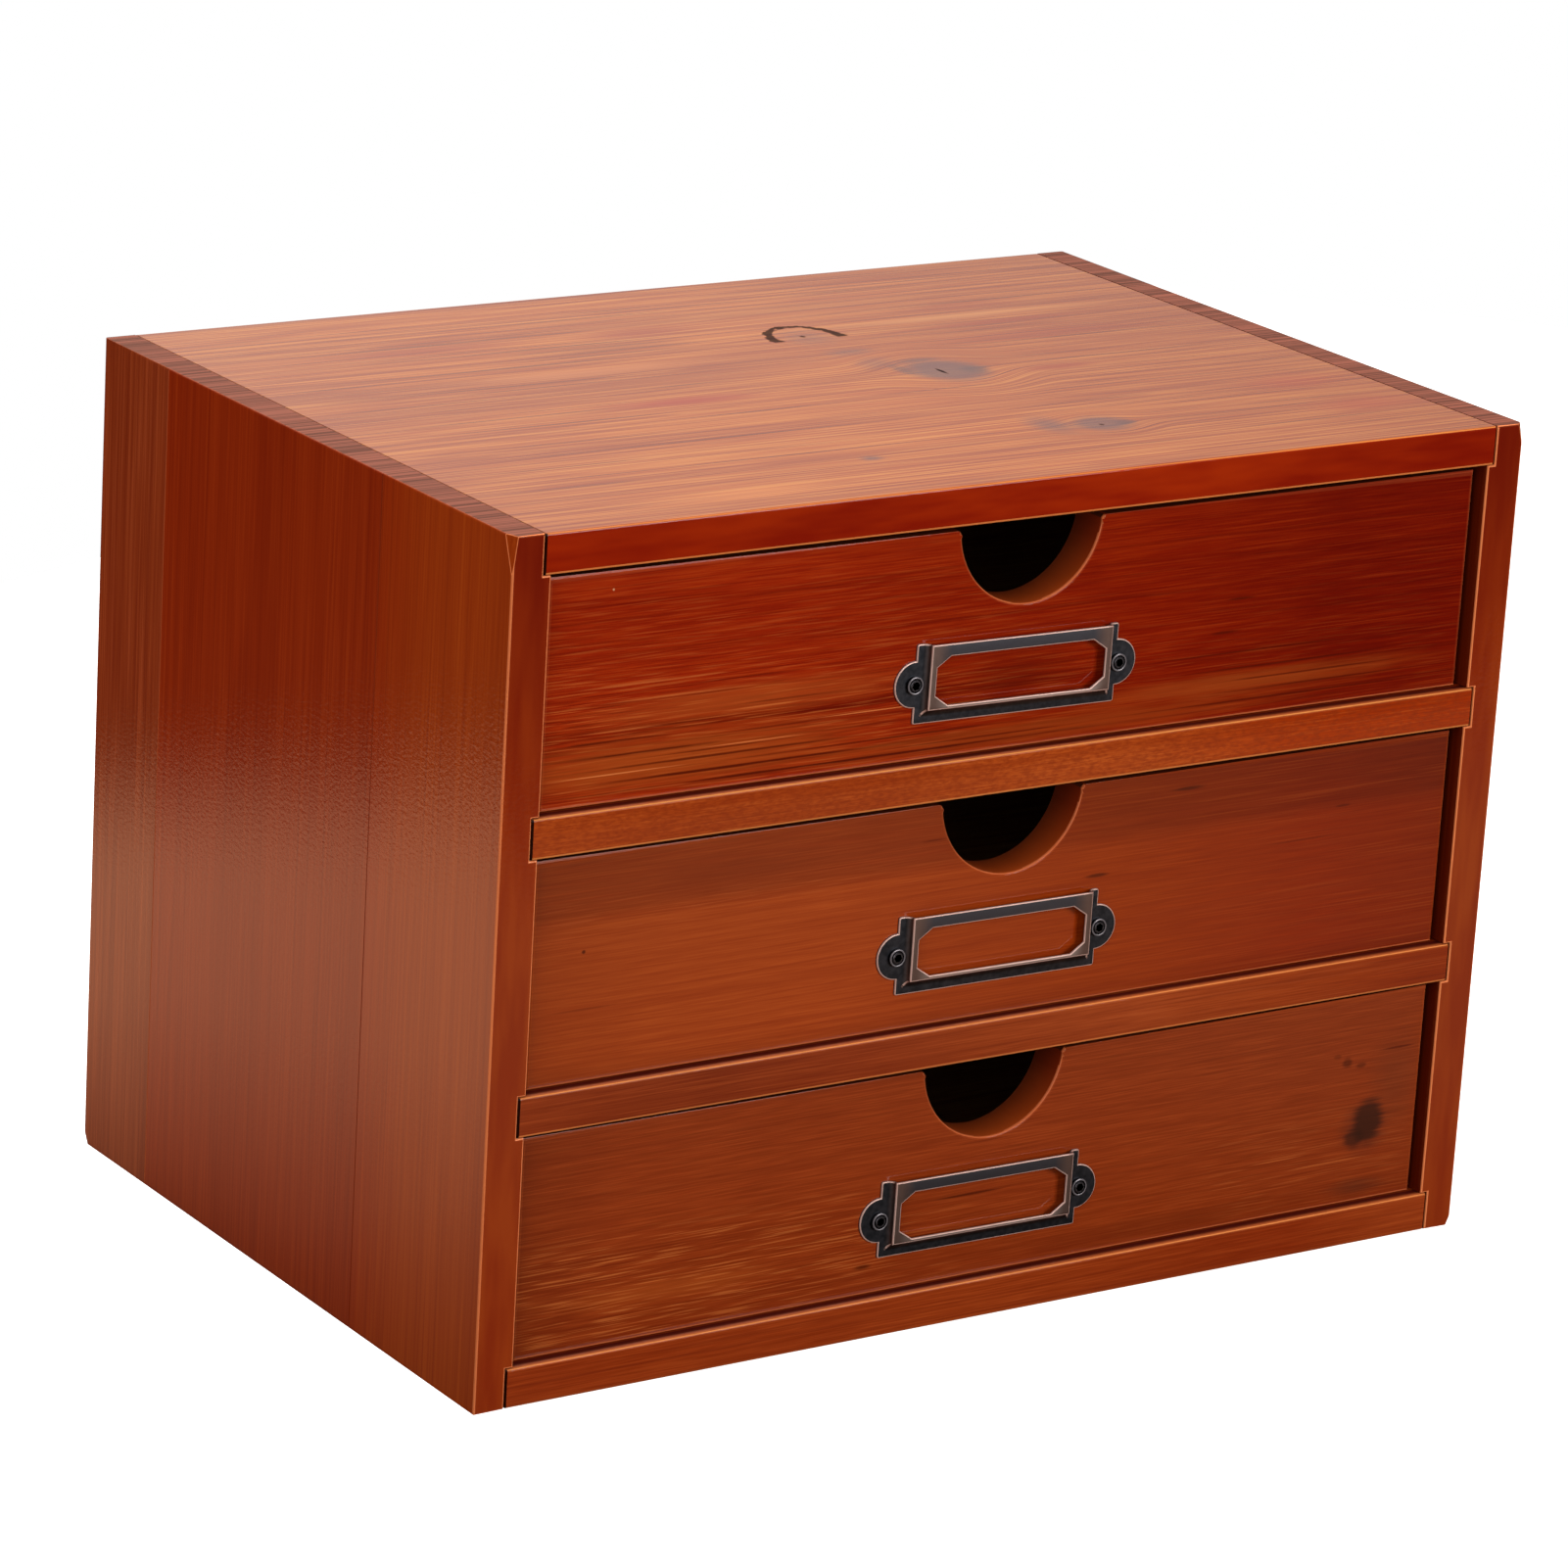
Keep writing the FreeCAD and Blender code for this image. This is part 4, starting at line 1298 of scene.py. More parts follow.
def stained_fir(name, **look):
    """Stained and varnished fir, from a description of the board."""
    material, tree = new_material(name)
    board, flat = bent_grain(tree, look)
    colour, height = wood_colour(tree, board, flat, look)
    colour, bare = draw_marks(tree, colour, board, flat, look)
    if "bark_ring" in look:
        colour, bark = draw_bark_ring(tree, colour, flat, look["bark_ring"])
        bare = maths(tree, "MAXIMUM", bare, bark)
    normal = add(tree, "NewGeometry", out="Normal")
    if "forward_shade_tones" in look:
        colour = shade_forward_faces(tree, colour, board, flat, normal, look)
    end_grain = end_grain_share(tree, normal, look)
    end_lines = streaks(tree, flat, 9.0, 0.9, look["seed"] + 61)
    colour = blend(tree, end_grain, colour, two_tones(tree, end_lines, look["end_tones"], 0.14))
    dull_parts = []
    if "inward_painted_shade" in look:
        colour = paint_shade_inwards(tree, colour, board, normal, look)
    if "notch" in look:
        colour = paint_light_in_notch(tree, colour, board, flat, normal, look)
    if look.get("ledge_light_and_shadow"):
        colour, ledge_light_and_shadow = paint_ledge_light_and_shadow(tree, colour, board, normal)
        dull_parts.append(ledge_light_and_shadow)
    colour, rubbed_and_highlit, joint_shade = edge_wear_highlight_and_shade(tree, colour, height, look)
    dull = end_grain
    for part in (*dull_parts, rubbed_and_highlit, joint_shade):
        dull = maths(tree, "MAXIMUM", dull, part)
    coat = between(tree, dull, 0.0, 1.0, look["coat"], DULL_COAT_SHARE * look["coat"])
    if bare:
        coat = between(tree, bare, 0.0, 1.0, coat, 0.0)
    relief = add(tree, "Bump", {"Height": height, "Strength": 0.25, "Distance": 0.05 * MM})
    chatter = streaks(tree, board, *look["chatter"], look["seed"] + 71)
    peel = add(tree, "Bump", {"Height": chatter, "Strength": 1.0,
                              "Distance": look["peel"] * MM})
    surface(tree, {"Base Color": colour, "Roughness": 0.45, "Normal": relief, "IOR": 1.5,
                   "Specular IOR Level": 0.02, "Coat Weight": coat,
                   "Coat Roughness": look["coat_roughness"], "Coat IOR": 1.5,
                   "Coat Normal": peel})
    return material


# %% [markdown]
# ## One description per board
# No two boards of the chest match. The top is paler and sawn from a knotty plank, the
# drawer fronts run from deep red at the top to orange brown, and the staves of a side are
# cut from different planks. Each description gives the tones of the stain, the heart of the
# trunk in millimetres from the origin, the width of a ring, and where the rings show. Marks
# are placed where the real boards have them.

# %% The fronts
# Lengths are in millimetres and seeds shift the noise. Shade and ring strength are given by
# the level on the board, over its span, and the drifts and the ring fade along its reach.
EVEN = [(0.0, "#ffffff"), (1.0, "#ffffff")]
DEFAULT = {
    "ring": 3.2, "heart": (200.0, -60.0), "wander": 7.0, "ripple": 0.6, "late": "#5a1002",
    "ring_strength": [(0.0, 0.4), (1.0, 0.4)], "ring_fade": [(0.0, 1.0), (1.0, 1.0)],
    "shade": EVEN, "drift": EVEN, "forward_shade_drift": EVEN,
    "fibre": 18, "fibre_width": 0.4, "spread": 0.16, "lines": 0.3, "pale": 0.35, "fleck": 0.0,
    "arris": "#c8663a", "end_tones": ("#3c1006", "#6a2810"),
    "coat": 1.0, "coat_roughness": 0.06, "peel": 0.015, "chatter": (1.8, 11),
    "level_slope": 0.0, "reach": (-161.3, 161.3),
}
DEEP = "#4e0d02"
DARK_ORANGE = "#c4662c"
BURNT = "#b85a26"
front_looks = {
    "top": dict(
        DEFAULT, seed=1.0, heart=(330.0, -60.0), ring=4.3, ripple=1.0, pale=0.2,
        raised=([(0.0, 0.5), (0.35, 0.6), (0.5, 0.35), (0.8, 0.2), (0.9, 0.1)],
                [(0.0, 1.0), (0.4, 0.7), (0.6, 0.2), (1.0, 0.15)], "#c4622a"),
        tones=("#911e04", "#a02807", "#b0380c"), late="#560901", level_slope=0.035,
        ring_strength=[(0.0, 0.25), (0.07, 0.75), (0.3, 0.7), (0.42, 0.18), (0.78, 0.14),
                       (0.8, 0.45), (0.83, 0.05), (1.0, 0.05)],
        ring_fade=[(0.0, 1.0), (0.35, 0.9), (0.6, 0.55), (1.0, 0.6)],
        shade=[(0.0, "#ffffff"), (0.78, "#f2e4e0"), (0.8, "#e8d0c8"), (0.84, "#ffffff")],
        # The drift towards deeper red at the right end is partly the wood and partly painted
        # shade.
        drift=[(0.0, "#f8fcff"), (0.25, "#f8f4f0"), (0.4, "#e8e0c8"), (0.65, "#d8b87c"),
               (0.85, "#b98850"), (1.0, "#b9864c")],
        # The first mark is a painted shadow of the label holder's frame, in and round its window.
        marks=[spot_mark(HOLDER_MIDDLE, 198.1, 29, 8.5, DEEP, 0.4, 0.9),
               spot_mark(-118, 186, 92, 12, "#a44a18", 0.72, 0.9),
               spot_mark(-95, 201, 75, 7, "#a84a1a", 0.6, 0.9),
               spot_mark(0, 180, 130, 5, "#9a4214", 0.5, 0.8),
               spot_mark(80, 186, 90, 5, "#a04818", 0.55, 0.9),
               *streak_rows((-165, -30, 181.6, 0.55, DEEP, 0.9),
                            (-165, -50, 185.6, 0.5, DEEP, 0.8),
                            (-165, 60, 178.6, 0.6, DEEP, 0.9),
                            (-120, 20, 183.6, 0.4, DEEP, 0.7),
                            (-165, -90, 189.4, 0.5, DEEP, 0.8),
                            (-140, -60, 187.6, 0.35, DEEP, 0.7),
                            (-165, -110, 193.6, 0.4, DEEP, 0.7),
                            (-110, -50, 191.8, 0.35, DEEP, 0.6),
                            (-60, 30, 180.2, 0.4, DEEP, 0.7),
                            (-150, -80, 196.4, 0.35, DEEP, 0.6),
                            (-120, -75, 207.5, 0.35, DEEP, 0.5),
                            (-100, -60, 199.6, 0.35, DEEP, 0.5),
                            (40, 160, 190.5, 0.4, DEEP),
                            (50, 160, 186.8, 0.4, DEEP),
                            (60, 160, 183.5, 0.4, DEEP),
                            (20, 160, 180.4, 0.5, DEEP),
                            (30, 150, 195.5, 0.35, DEEP),
                            (-162, -112, 184.0, 0.25, "#d8783e", 0.8),
                            (-118, -70, 188.2, 0.25, "#d8783e", 0.8),
                            (-76, -28, 192.4, 0.25, "#d8783e", 0.8),
                            (-158, -95, 209.5, 0.35, "#c2602c"),
                            (-150, -90, 204.8, 0.35, "#c2602c"),
                            (-110, -70, 198.2, 0.4, "#cc6a30"),
                            (-155, -120, 196.5, 0.35, "#c2602c")),
               spot_mark(-140.7, 237.5, 0.5, 0.5, "#e0a878"),
               *streak_rows((64, 80, 202.0, 0.8, DEEP),
                            (70, 84, 212.0, 0.6, DEEP))]),
    "middle": dict(
        DEFAULT, seed=7.0, heart=(-40.0, -40.0), ring=2.9, ripple=0.4, pale=0.2,
        raised=([(0.6, 0.0), (0.75, 0.5), (0.85, 0.0)],
                [(0.0, 0.6), (0.3, 0.5), (0.5, 0.0)], "#b85c28"),
        tones=("#9a3a10", "#a44214", "#ae4a18"), late="#842808", lines=0.15,
        ring_strength=[(0.0, 0.4), (0.6, 0.45), (0.8, 0.3), (1.0, 0.3)],
        shade=[(0.0, "#dcd4d0"), (0.12, "#ffffff"), (0.7, "#ffffff"), (0.77, "#dcd4dc"),
               (1.0, "#d8d0dc")],
        drift=[(0.0, "#e4e0dc"), (0.12, "#f8f8f4"), (0.3, "#fcf8f0"), (0.4, "#f2e8e0"),
               (0.62, "#e2c898"), (0.85, "#d09454"), (1.0, "#be8644")],
        marks=[spot_mark(-144.5, 132.7, 0.8, 0.8, PITCH),
               spot_mark(-95, 150, 62, 7, "#6c2208", 0.35, 0.9),
               *streak_rows((-160, -130, 115.6, 0.4, DEEP, 0.35),
                            (56, 72, 155.1, 0.8, PITCH),
                            (27, 38, 132.2, 0.8, PITCH),
                            (-33, -21, 150.5, 0.5, DEEP, 0.5),
                            (119, 126, 142.4, 0.6, DEEP, 0.6),
                            (90, 125, 133.4, 0.35, DEEP, 0.5))]),
    "bottom": dict(
        DEFAULT, seed=13.0, heart=(190.0, -70.0), ring=4.0, ripple=1.4, pale=0.35,
        raised=([(0.0, 0.5), (0.3, 0.7), (0.45, 0.5), (0.55, 0.05)],
                [(0.0, 0.7), (0.1, 1.0), (0.35, 0.8), (0.5, 0.1), (0.72, 0.1), (0.8, 0.35),
                 (1.0, 0.2)], "#c46a30"),
        tones=("#86320e", "#933812", "#a34418"), late="#702208", lines=0.25,
        ring_strength=[(0.0, 0.35), (1.0, 0.3)],
        shade=[(0.0, "#e6e0e0"), (0.08, "#f4f0f0"), (0.16, "#ffffff"), (1.0, "#ffffff")],
        drift=[(0.0, "#d4cccc"), (0.1, "#f4ece8"), (0.7, "#f4ece8"), (1.0, "#e8dcd4")],
        marks=[spot_mark(-110, 26, 50, 5, "#a84c1a", 0.5, 0.9),
               spot_mark(60, 17, 60, 5, "#5e1e08", 0.35, 0.9),
               *streak_rows((-152, -136, 40.5, 0.3, DARK_ORANGE),
                            (-138, -120, 37.6, 0.3, DARK_ORANGE),
                            (-124, -108, 29.0, 0.25, DARK_ORANGE),
                            (-104, -86, 27.3, 0.3, DARK_ORANGE),
                            (-80, -60, 29.6, 0.25, BURNT),
                            (110, 150, 26.6, 0.3, BURNT),
                            (95, 120, 30.4, 0.3, BURNT)),
               spot_mark(140, 17, 16, 4, "#4a2414", 0.5, 0.9),
               spot_mark(152, 50, 14, 22, "#5a2a16", 0.3, 0.95),
               *streak_rows((-24, 8, 38.0, 0.6, PITCH),
                            (-47, -38, 21.0, 0.9, PITCH),
                            (-18, 14, 54.2, 0.3, DEEP, 0.5),
                            (145, 160, 60.8, 0.6, DEEP)),
               spot_mark(133.0, 58.5, 2.6, 2.0, PITCH, 0.6),
               spot_mark(138.5, 56.8, 2.4, 1.2, PITCH, 0.5),
               spot_mark(129.0, 61.0, 2.0, 1.0, PITCH, 0.35),
               spot_mark(141.5, 36.0, 12.0, 11.0, "#5a2414", 0.7, 0.8),
               spot_mark(143.0, 38.0, 7.4, 9.0, "#30140c", 0.85, 0.5),
               spot_mark(138.0, 33.0, 5.0, 4.6, "#30140c", 0.7, 0.6)]),
}
for drawer, piece in fronts.items():
    low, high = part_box(f"drawer_{drawer}_front")
    # A front's walls take the dark end tones: partly the stain on the cut faces, partly painted
    # shade.
    look = dict(front_looks[drawer], grain="X", across="Z", span=(low.z / MM, high.z / MM),
                walls=True, notch=notch_half - TOUCH, end_tones=("#502210", "#582612"))
    wear_material(piece, stained_fir(f"stained_fir_{drawer}_front", **look))

# %% The boards
GREY_HAZE = "#5a343a"
DARK_HAZE = "#4a2830"
RUSSET = "#8c2606"
top_lines = [(-165, 20, 77.5, 0.8), (-165, -60, 70.0, 0.8), (-110, -2, 62.5, 0.7),
             (-80, 0, 58.0, 0.7), (-70, 4, 53.5, 0.7), (-85, 0, 49.5, 0.6), (-165, 12, 44.6, 0.7),
             (-165, -110, 40.0, 0.5), (-165, -20, 25.5, 0.6), (-165, -80, 14.0, 0.6),
             (-60, -20, 9.0, 0.6), (-165, -40, -7.6, 0.7), (-165, -30, -18.0, 0.7),
             (-70, 0, -25.5, 0.7), (0, 60, -22.0, 0.6), (-165, -40, -37.0, 0.6),
             (-165, 30, -48.4, 0.6), (30, 100, -49.6, 0.6), (-165, -80, -60.5, 0.6),
             (-165, 50, -71.8, 0.55), (-165, -100, -80.5, 0.5), (60, 165, -92.5, 0.7),
             (70, 165, -60.5, 0.6), (90, 165, -70.5, 0.6), (60, 150, -75.5, 0.5),
             (60, 165, -3.0, 0.6), (72, 165, 71.0, 0.6), (60, 120, 57.0, 0.5),
             (-80, 30, 92.0, 0.5), (-40, 20, 98.0, 0.6), (40, 110, 96.0, 0.6),
             (60, 165, 21.5, 0.5)]
knot = {"colour": GREY_HAZE, "soft": 0.6, "ragged": 0.35}
board_looks = {
    "top_board": dict(
        DEFAULT, across="Y", span=(-119.5, 119.5), seed=21.0, ring=5.2, heart=(20.0, 150.0),
        tones=("#883008", "#a84e14", "#c47630"), late="#781c02", arris="#e8904c", wander=10.0,
        lines=0.6, pale=0.6, spread=0.15, fibre=70, fibre_width=0.8,
        ring_fade=[(0.0, 1.0), (0.6, 1.0), (0.8, 0.6)], forward_shade_tones=("#8c1902", "#a42b04"),
        forward_shade_drift=[(0.0, "#f0e0d0"), (0.3, "#f0e8e0"), (0.6, "#ffffff"), (0.68, "#ffffff"),
                     (0.8, "#ecd8d0"), (1.0, "#ecd8d0")],
        ring_strength=[(0.0, 0.4), (0.5, 0.55), (1.0, 0.85)],
        drift=[(0.0, "#f4f0f0"), (0.2, "#fcfcfc"), (0.55, "#ffffff"), (0.75, "#f0e8e8"),
               (1.0, "#e6d8d4")],
        knots=[dict(knot, at=(45.5, -3.0), size=(17.0, 18.0), strength=0.8, reach=2.2),
               dict(knot, at=(53.0, -74.0), size=(13.0, 10.5), strength=0.75, reach=2.0)],
        marks=[*(streak(start, end, level, 1.2 * wide, "#701e02", 0.8)
                 for start, end, level, wide in top_lines),
               spot_mark(-100, 72, 62, 6, RUSSET, 0.65, 0.95),
               spot_mark(-18, 70, 30, 8, RUSSET, 0.65, 0.95),
               spot_mark(-40, 56, 42, 10, "#8a3a10", 0.55, 0.95),
               spot_mark(-52, -8, 36, 6, "#982404", 0.85, 0.9),
               spot_mark(-2, -8, 16, 3, RUSSET, 0.5, 0.95),
               spot_mark(82, -11, 18, 5, "#902a04", 0.7, 0.8),
               spot_mark(98, 45, 40, 3.6, "#8a2404", 0.75, 0.8),
               spot_mark(100, 27, 56, 7, "#8a2604", 0.6, 0.8),
               spot_mark(95, 66, 36, 5, RUSSET, 0.45, 0.95),
               spot_mark(72, 88, 40, 10, RUSSET, 0.3, 0.95),
               spot_mark(140, -52, 26, 12, "#9c2c04", 0.5, 0.95),
               spot_mark(145, -82, 30, 12, "#9c2c04", 0.5, 0.95),
               spot_mark(15, -20, 34, 5, RUSSET, 0.35, 0.95),
               spot_mark(90, 55, 80, 5, "#cc8448", 0.5, 0.9),
               spot_mark(-90, -104, 45, 8, "#d07a34", 0.45, 0.95),
               spot_mark(-60, 32, 60, 7, "#d08048", 0.35, 0.95),
               spot_mark(30, 12, 12, 9, GREY_HAZE, 0.4, 0.95, 35),
               spot_mark(37, -70, 10, 14, GREY_HAZE, 0.65, 0.95),
               spot_mark(30, 27, 13, 6, GREY_HAZE, 0.45, 0.95),
               spot_mark(28, 47, 13, 14, GREY_HAZE, 0.35, 0.95),
               spot_mark(-35.4, -83.5, 5.5, 3.4, GREY_HAZE, 0.7, 0.9),
               spot_mark(55, -6, 7, 7, DARK_HAZE, 0.6, 0.8),
               spot_mark(33, 2, 4, 9, DARK_HAZE, 0.5, 0.8),
               spot_mark(44, 11, 11, 3, DARK_HAZE, 0.4, 0.8),
               spot_mark(61, -75, 5, 5, DARK_HAZE, 0.5, 0.8),
               spot_mark(43.6, -3.5, 0.9, 4.6, CRACK, 0.95),
               spot_mark(52.0, -75.0, 1.2, 1.3, CRACK, 0.7),
               spot_mark(27.3, 48.2, 1.3, 1.7, CRACK, 0.85)],
        bark_ring={"at": (28.2, 46.0), "size": (11.8, 14.8), "ends": 0.17, "crown": 0.07,
                   "colour": CRACK}),
    "shelf_upper": dict(
        DEFAULT, across="Z", span=(163.3, 175.3), seed=33.0, ring=9.0, heart=(250.0, -100.0),
        tones=("#a03e10", "#ae4914", "#bc561c"), late="#842a0a", arris="#dc8a48", fleck=0.6,
        coat_roughness=0.12, ring_strength=[(0.0, 0.1), (1.0, 0.1)],
        drift=[(0.0, "#f4e8e0"), (0.18, "#e4d0c8"), (0.34, "#ecdcd4"), (0.48, "#fffcf8"),
               (0.64, "#fff8f0"), (0.8, "#f0bc58"), (1.0, "#ecae44")]),
    "shelf_lower": dict(
        DEFAULT, across="Z", span=(81.7, 93.7), seed=41.0, ring=7.0, heart=(250.0, -100.0),
        tones=("#8c3410", "#9c3f16", "#a8491c"), late="#702008", arris="#dc8446",
        ring_strength=[(0.0, 0.2), (1.0, 0.2)],
        drift=[(0.0, "#dccccc"), (0.18, "#ccb8bc"), (0.34, "#dcc8c8"), (0.5, "#f0e8e0"),
               (0.65, "#ffffff"), (0.8, "#f0dcb0"), (1.0, "#dcb070")]),
    "bottom_board": dict(
        DEFAULT, across="Z", span=(0.0, 12.0), seed=51.0, ring=7.0, heart=(250.0, -100.0),
        tones=("#8a300c", "#983a12", "#a84618"), late="#70200a", arris="#dc8446",
        ring_strength=[(0.0, 0.2), (1.0, 0.2)],
        drift=[(0.0, "#f0e0dc"), (0.3, "#f8f0f0"), (0.5, "#ffffff"), (0.85, "#e8ccc0"),
               (0.95, "#ffffff")]),
}
for node, piece in boards.items():
    look = dict(board_looks[node], grain="X", ledge_light_and_shadow=node != "top_board")
    wear_material(piece, stained_fir(f"stained_fir_{node}", **look))

# %% The staves
stave_looks = {
    "front": dict(
        DEFAULT, tones=("#923408", "#9a390a", "#a4420e"), heart=(-300.0, 60.0), late="#802606",
        ring=4.2, ring_strength=[(0.0, 0.2), (1.0, 0.2)], forward_shade_tones=("#862a0a", "#94380f"),
        forward_shade_drift=[(0.0, "#fff8f0"), (0.45, "#ffffff"), (0.68, "#fff0e8"), (0.98, "#d4988c")],
        shade=[(0.0, "#f8f4f4"), (0.06, "#ffffff"), (0.18, "#fffcfc"), (0.31, "#f0c8c0")]),
    "middle": dict(
        DEFAULT, tones=("#842404", "#8c2906", "#96320a"), heart=(10.0, 90.0), late="#761a03",
        ring=3.6, ring_strength=[(0.0, 0.35), (1.0, 0.35)]),
    "rear": dict(
        DEFAULT, tones=("#802e12", "#8c3816", "#a04824"), heart=(260.0, 80.0), late="#74240c",
        ring=3.4, ring_strength=[(0.0, 0.5), (1.0, 0.5)], pale=0.3),
}
for index, (node, piece) in enumerate(staves.items()):
    part = node.rsplit("_", 1)[-1]
    look = dict(stave_looks[part], grain="Z", across="Y", span=(-119.5, 119.5),
                reach=(0.0, 257.0), seed=60.0 + 7 * index, fibre=60, fibre_width=0.9, lines=0.4,
                peel=0.07, chatter=(1.2, 1.5), coat_roughness=0.09, arris="#e88450",
                end_tones=("#562a1c", "#8e4e3c"), inward_painted_shade="#a08070")
    wear_material(piece, stained_fir(f"stained_fir_{node}", **look))

# %% [markdown]
# ## Inside the drawers
# The sides and backs of the drawers are the same fir, and their bottoms and the back of the
# chest are thin plywood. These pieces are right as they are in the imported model, so only
# their material is new. Plywood is peeled from the log, so its rings are wide and wavy.

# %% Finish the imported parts
side_look = dict(DEFAULT, across="Z", span=(0.0, 257.0), tones=("#7c3a18", "#94501f", "#aa6a34"),
                 heart=(-60.0, 60.0), ring=3.4, ring_strength=[(0.0, 0.35), (1.0, 0.35)],
                 coat=0.6)
drawer_side_wood = stained_fir("stained_fir_drawer_sides", grain="Y", seed=101.0, **side_look)
drawer_back_wood = stained_fir("stained_fir_drawer_backs", grain="X", seed=113.0, **side_look)
ply_look = dict(DEFAULT, grain="X", tones=("#8a5026", "#a0683a", "#b4804e"), late="#7a4420",
                ring=9.0, ripple=4.0, wander=60.0, ring_strength=[(0.0, 0.5), (1.0, 0.5)],
                coat=0.6)
bottom_look = dict(ply_look, across="Y", heart=(0.0, 40.0), span=(-119.5, 119.5), seed=131.0)
bottom_ply = stained_fir("stained_plywood_bottoms", **bottom_look)
panel_look = dict(ply_look, across="Z", heart=(120.0, 60.0), span=(0.0, 257.0), seed=139.0)
panel_ply = stained_fir("stained_plywood_back", **panel_look)


def steel(name, dark, light, roughness, grit_mm):
    """A steel finish with a fine mottle of two tones."""
    material, tree = new_material(name)
    spot = add(tree, "TexCoord", out="Object")
    grit = add(tree, "TexNoise", {"Vector": spot, "Scale": 1 / (grit_mm * MM), "Detail": 3.0})
    colour = two_tones(tree, grit, (dark, light))
    rough = between(tree, grit, 0.0, 1.0, roughness - 0.06, roughness + 0.06)
    relief = add(tree, "Bump", {"Height": grit, "Strength": 0.2, "Distance": 0.02 * MM})
    return material, tree, colour, rough, relief


brad_wire, tree, colour, rough, relief = steel("drawn_steel_wire", "#8c8a86", "#b4b2ae", 0.35, 0.6)
surface(tree, {"Base Color": colour, "Roughness": rough, "Normal": relief, "Metallic": 1.0})
carried = {"side_left": drawer_side_wood, "side_right": drawer_side_wood,
           "back": drawer_back_wood, "bottom": bottom_ply, "brads": brad_wire}
for drawer in DRAWERS:
    for part, material in carried.items():
        wear_material(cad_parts[f"drawer_{drawer}_{part}"], material)
wear_material(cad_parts["back_panel"], panel_ply)
wear_material(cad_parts["back_panel_brads"], brad_wire)

# %% [markdown]
# ## Antique bronze and blackened steel
# The label holder is plated dark and then rubbed, so that its flats stay grey and every
# sharp edge shows a thin copper-pink line, which is both that wear and a painted highlight.
# The same attribute drives it. Its raised field is paler than the flange. The screws are
# blackened in oil, which leaves them dark and a little glossy, with a painted highlight on
# the rim of the head.

# %% The metals
PLATING_EDGE = "#cca89c"
SCREW_RIM_HIGHLIGHT = "#767074"
FIELD_TONE = "#a08e86"
FIELD_TOP_TONE = "#55545a"
FIELD_SIDE_TONE = "#7a645c"
FIELD_TOP_START, FIELD_TOP_END = 5, 7
# Edges are less metallic, so that the painted highlight shows wherever they face.
RUBBED_AND_HIGHLIT_METAL_SHARE = 0.35


def rubbed_and_highlit(tree, colour, edge_colour):
    """Painted highlight and bare, dull metal where the edge attribute says so: its colour, and the
    metal's share.
    """
    wear_highlight_shade = add(tree, "Attribute", attribute_name="wear_highlight_shade", out="Fac")
    metal = between(tree, wear_highlight_shade, 0.0, 1.0, 1.0, RUBBED_AND_HIGHLIT_METAL_SHARE)
    return blend(tree, wear_highlight_shade, colour, edge_colour), metal


antique, tree, colour, rough, relief = steel("antique_bronze_plating", "#34363b", "#434348",
                                             0.42, 1.6)
place = axes_of(tree, place_in_mm(tree))
raised = between(tree, place["Y"], front_face_y - SHEET, front_face_y - RISE)
from_middle = maths(tree, "ABSOLUTE", maths(tree, "SUBTRACT", place["X"], HOLDER_MIDDLE))
beside = between(tree, from_middle, window_x - WINDOW_RUN, window_x)
level = maths(tree, "SUBTRACT", place["Z"], front_low.z)
level = maths(tree, "FLOORED_MODULO", level, DRAWER_PITCH)
above = between(tree, level, HOLDER_LEVEL + FIELD_TOP_START, HOLDER_LEVEL + FIELD_TOP_END)
field = blend(tree, above, FIELD_TONE, FIELD_TOP_TONE)
field = blend(tree, beside, field, FIELD_SIDE_TONE)
colour = blend(tree, raised, colour, field)
colour, metal = rubbed_and_highlit(tree, colour, PLATING_EDGE)
surface(tree, {"Base Color": colour, "Roughness": rough, "Normal": relief, "Metallic": metal})
blackened, tree, colour, rough, relief = steel("blackened_steel_screw", "#1c1c20", "#2a2a2e",
                                               0.34, 0.8)
colour, metal = rubbed_and_highlit(tree, colour, SCREW_RIM_HIGHLIGHT)
surface(tree, {"Base Color": colour, "Roughness": rough, "Normal": relief, "Metallic": metal})
for drawer in DRAWERS:
    wear_material(holders[drawer], antique)
    for piece in screws[drawer]:
        wear_material(piece, blackened)
print(len(bpy.data.materials), "materials")

# %% [markdown]
# ## Floor, light and camera
# The chest stands on a pale sweep under a large overhead softbox, with two more in front,
# one on the left and one on the right. Seen directly, sweep and room are pale all over. In
# reflections and bounced light the sweep glows, though it is no lamp: bright near the chest
# and ending a little way out, so the varnish of the upright faces mirrors a pale floor low
# down and a dark room higher up. The top mirrors a pale backdrop that only reflections see.

# %% Floor
FLOOR_REACH = 0.65
FLOOR_SIDES = 64
BACK_EDGE = ((-0.22, 0.58, 0.0), (-0.355, 0.935, 0.0))
FRONT_EDGE = ((0.0, -0.567, 0.0), (0.0, -1.0, 0.0))
MIRRORED_GLOW = 1.1
bpy.ops.object.select_all(action="DESELECT")
bpy.ops.mesh.primitive_circle_add(vertices=FLOOR_SIDES, radius=2 * FLOOR_REACH, fill_type="NGON")
floor = bpy.context.object
floor.name = "floor"
open_piece(floor, "FACE")
for place, normal in (BACK_EDGE, FRONT_EDGE):
    bpy.ops.mesh.select_all(action="SELECT")
    bpy.ops.mesh.bisect(plane_co=place, plane_no=normal, clear_outer=True)
bpy.ops.object.mode_set(mode="OBJECT")
paper, tree = new_material("pale_paper_sweep")
spot = add(tree, "TexCoord", out="Object")
fibre = add(tree, "TexNoise", {"Vector": spot, "Scale": 400.0, "Detail": 2.0})
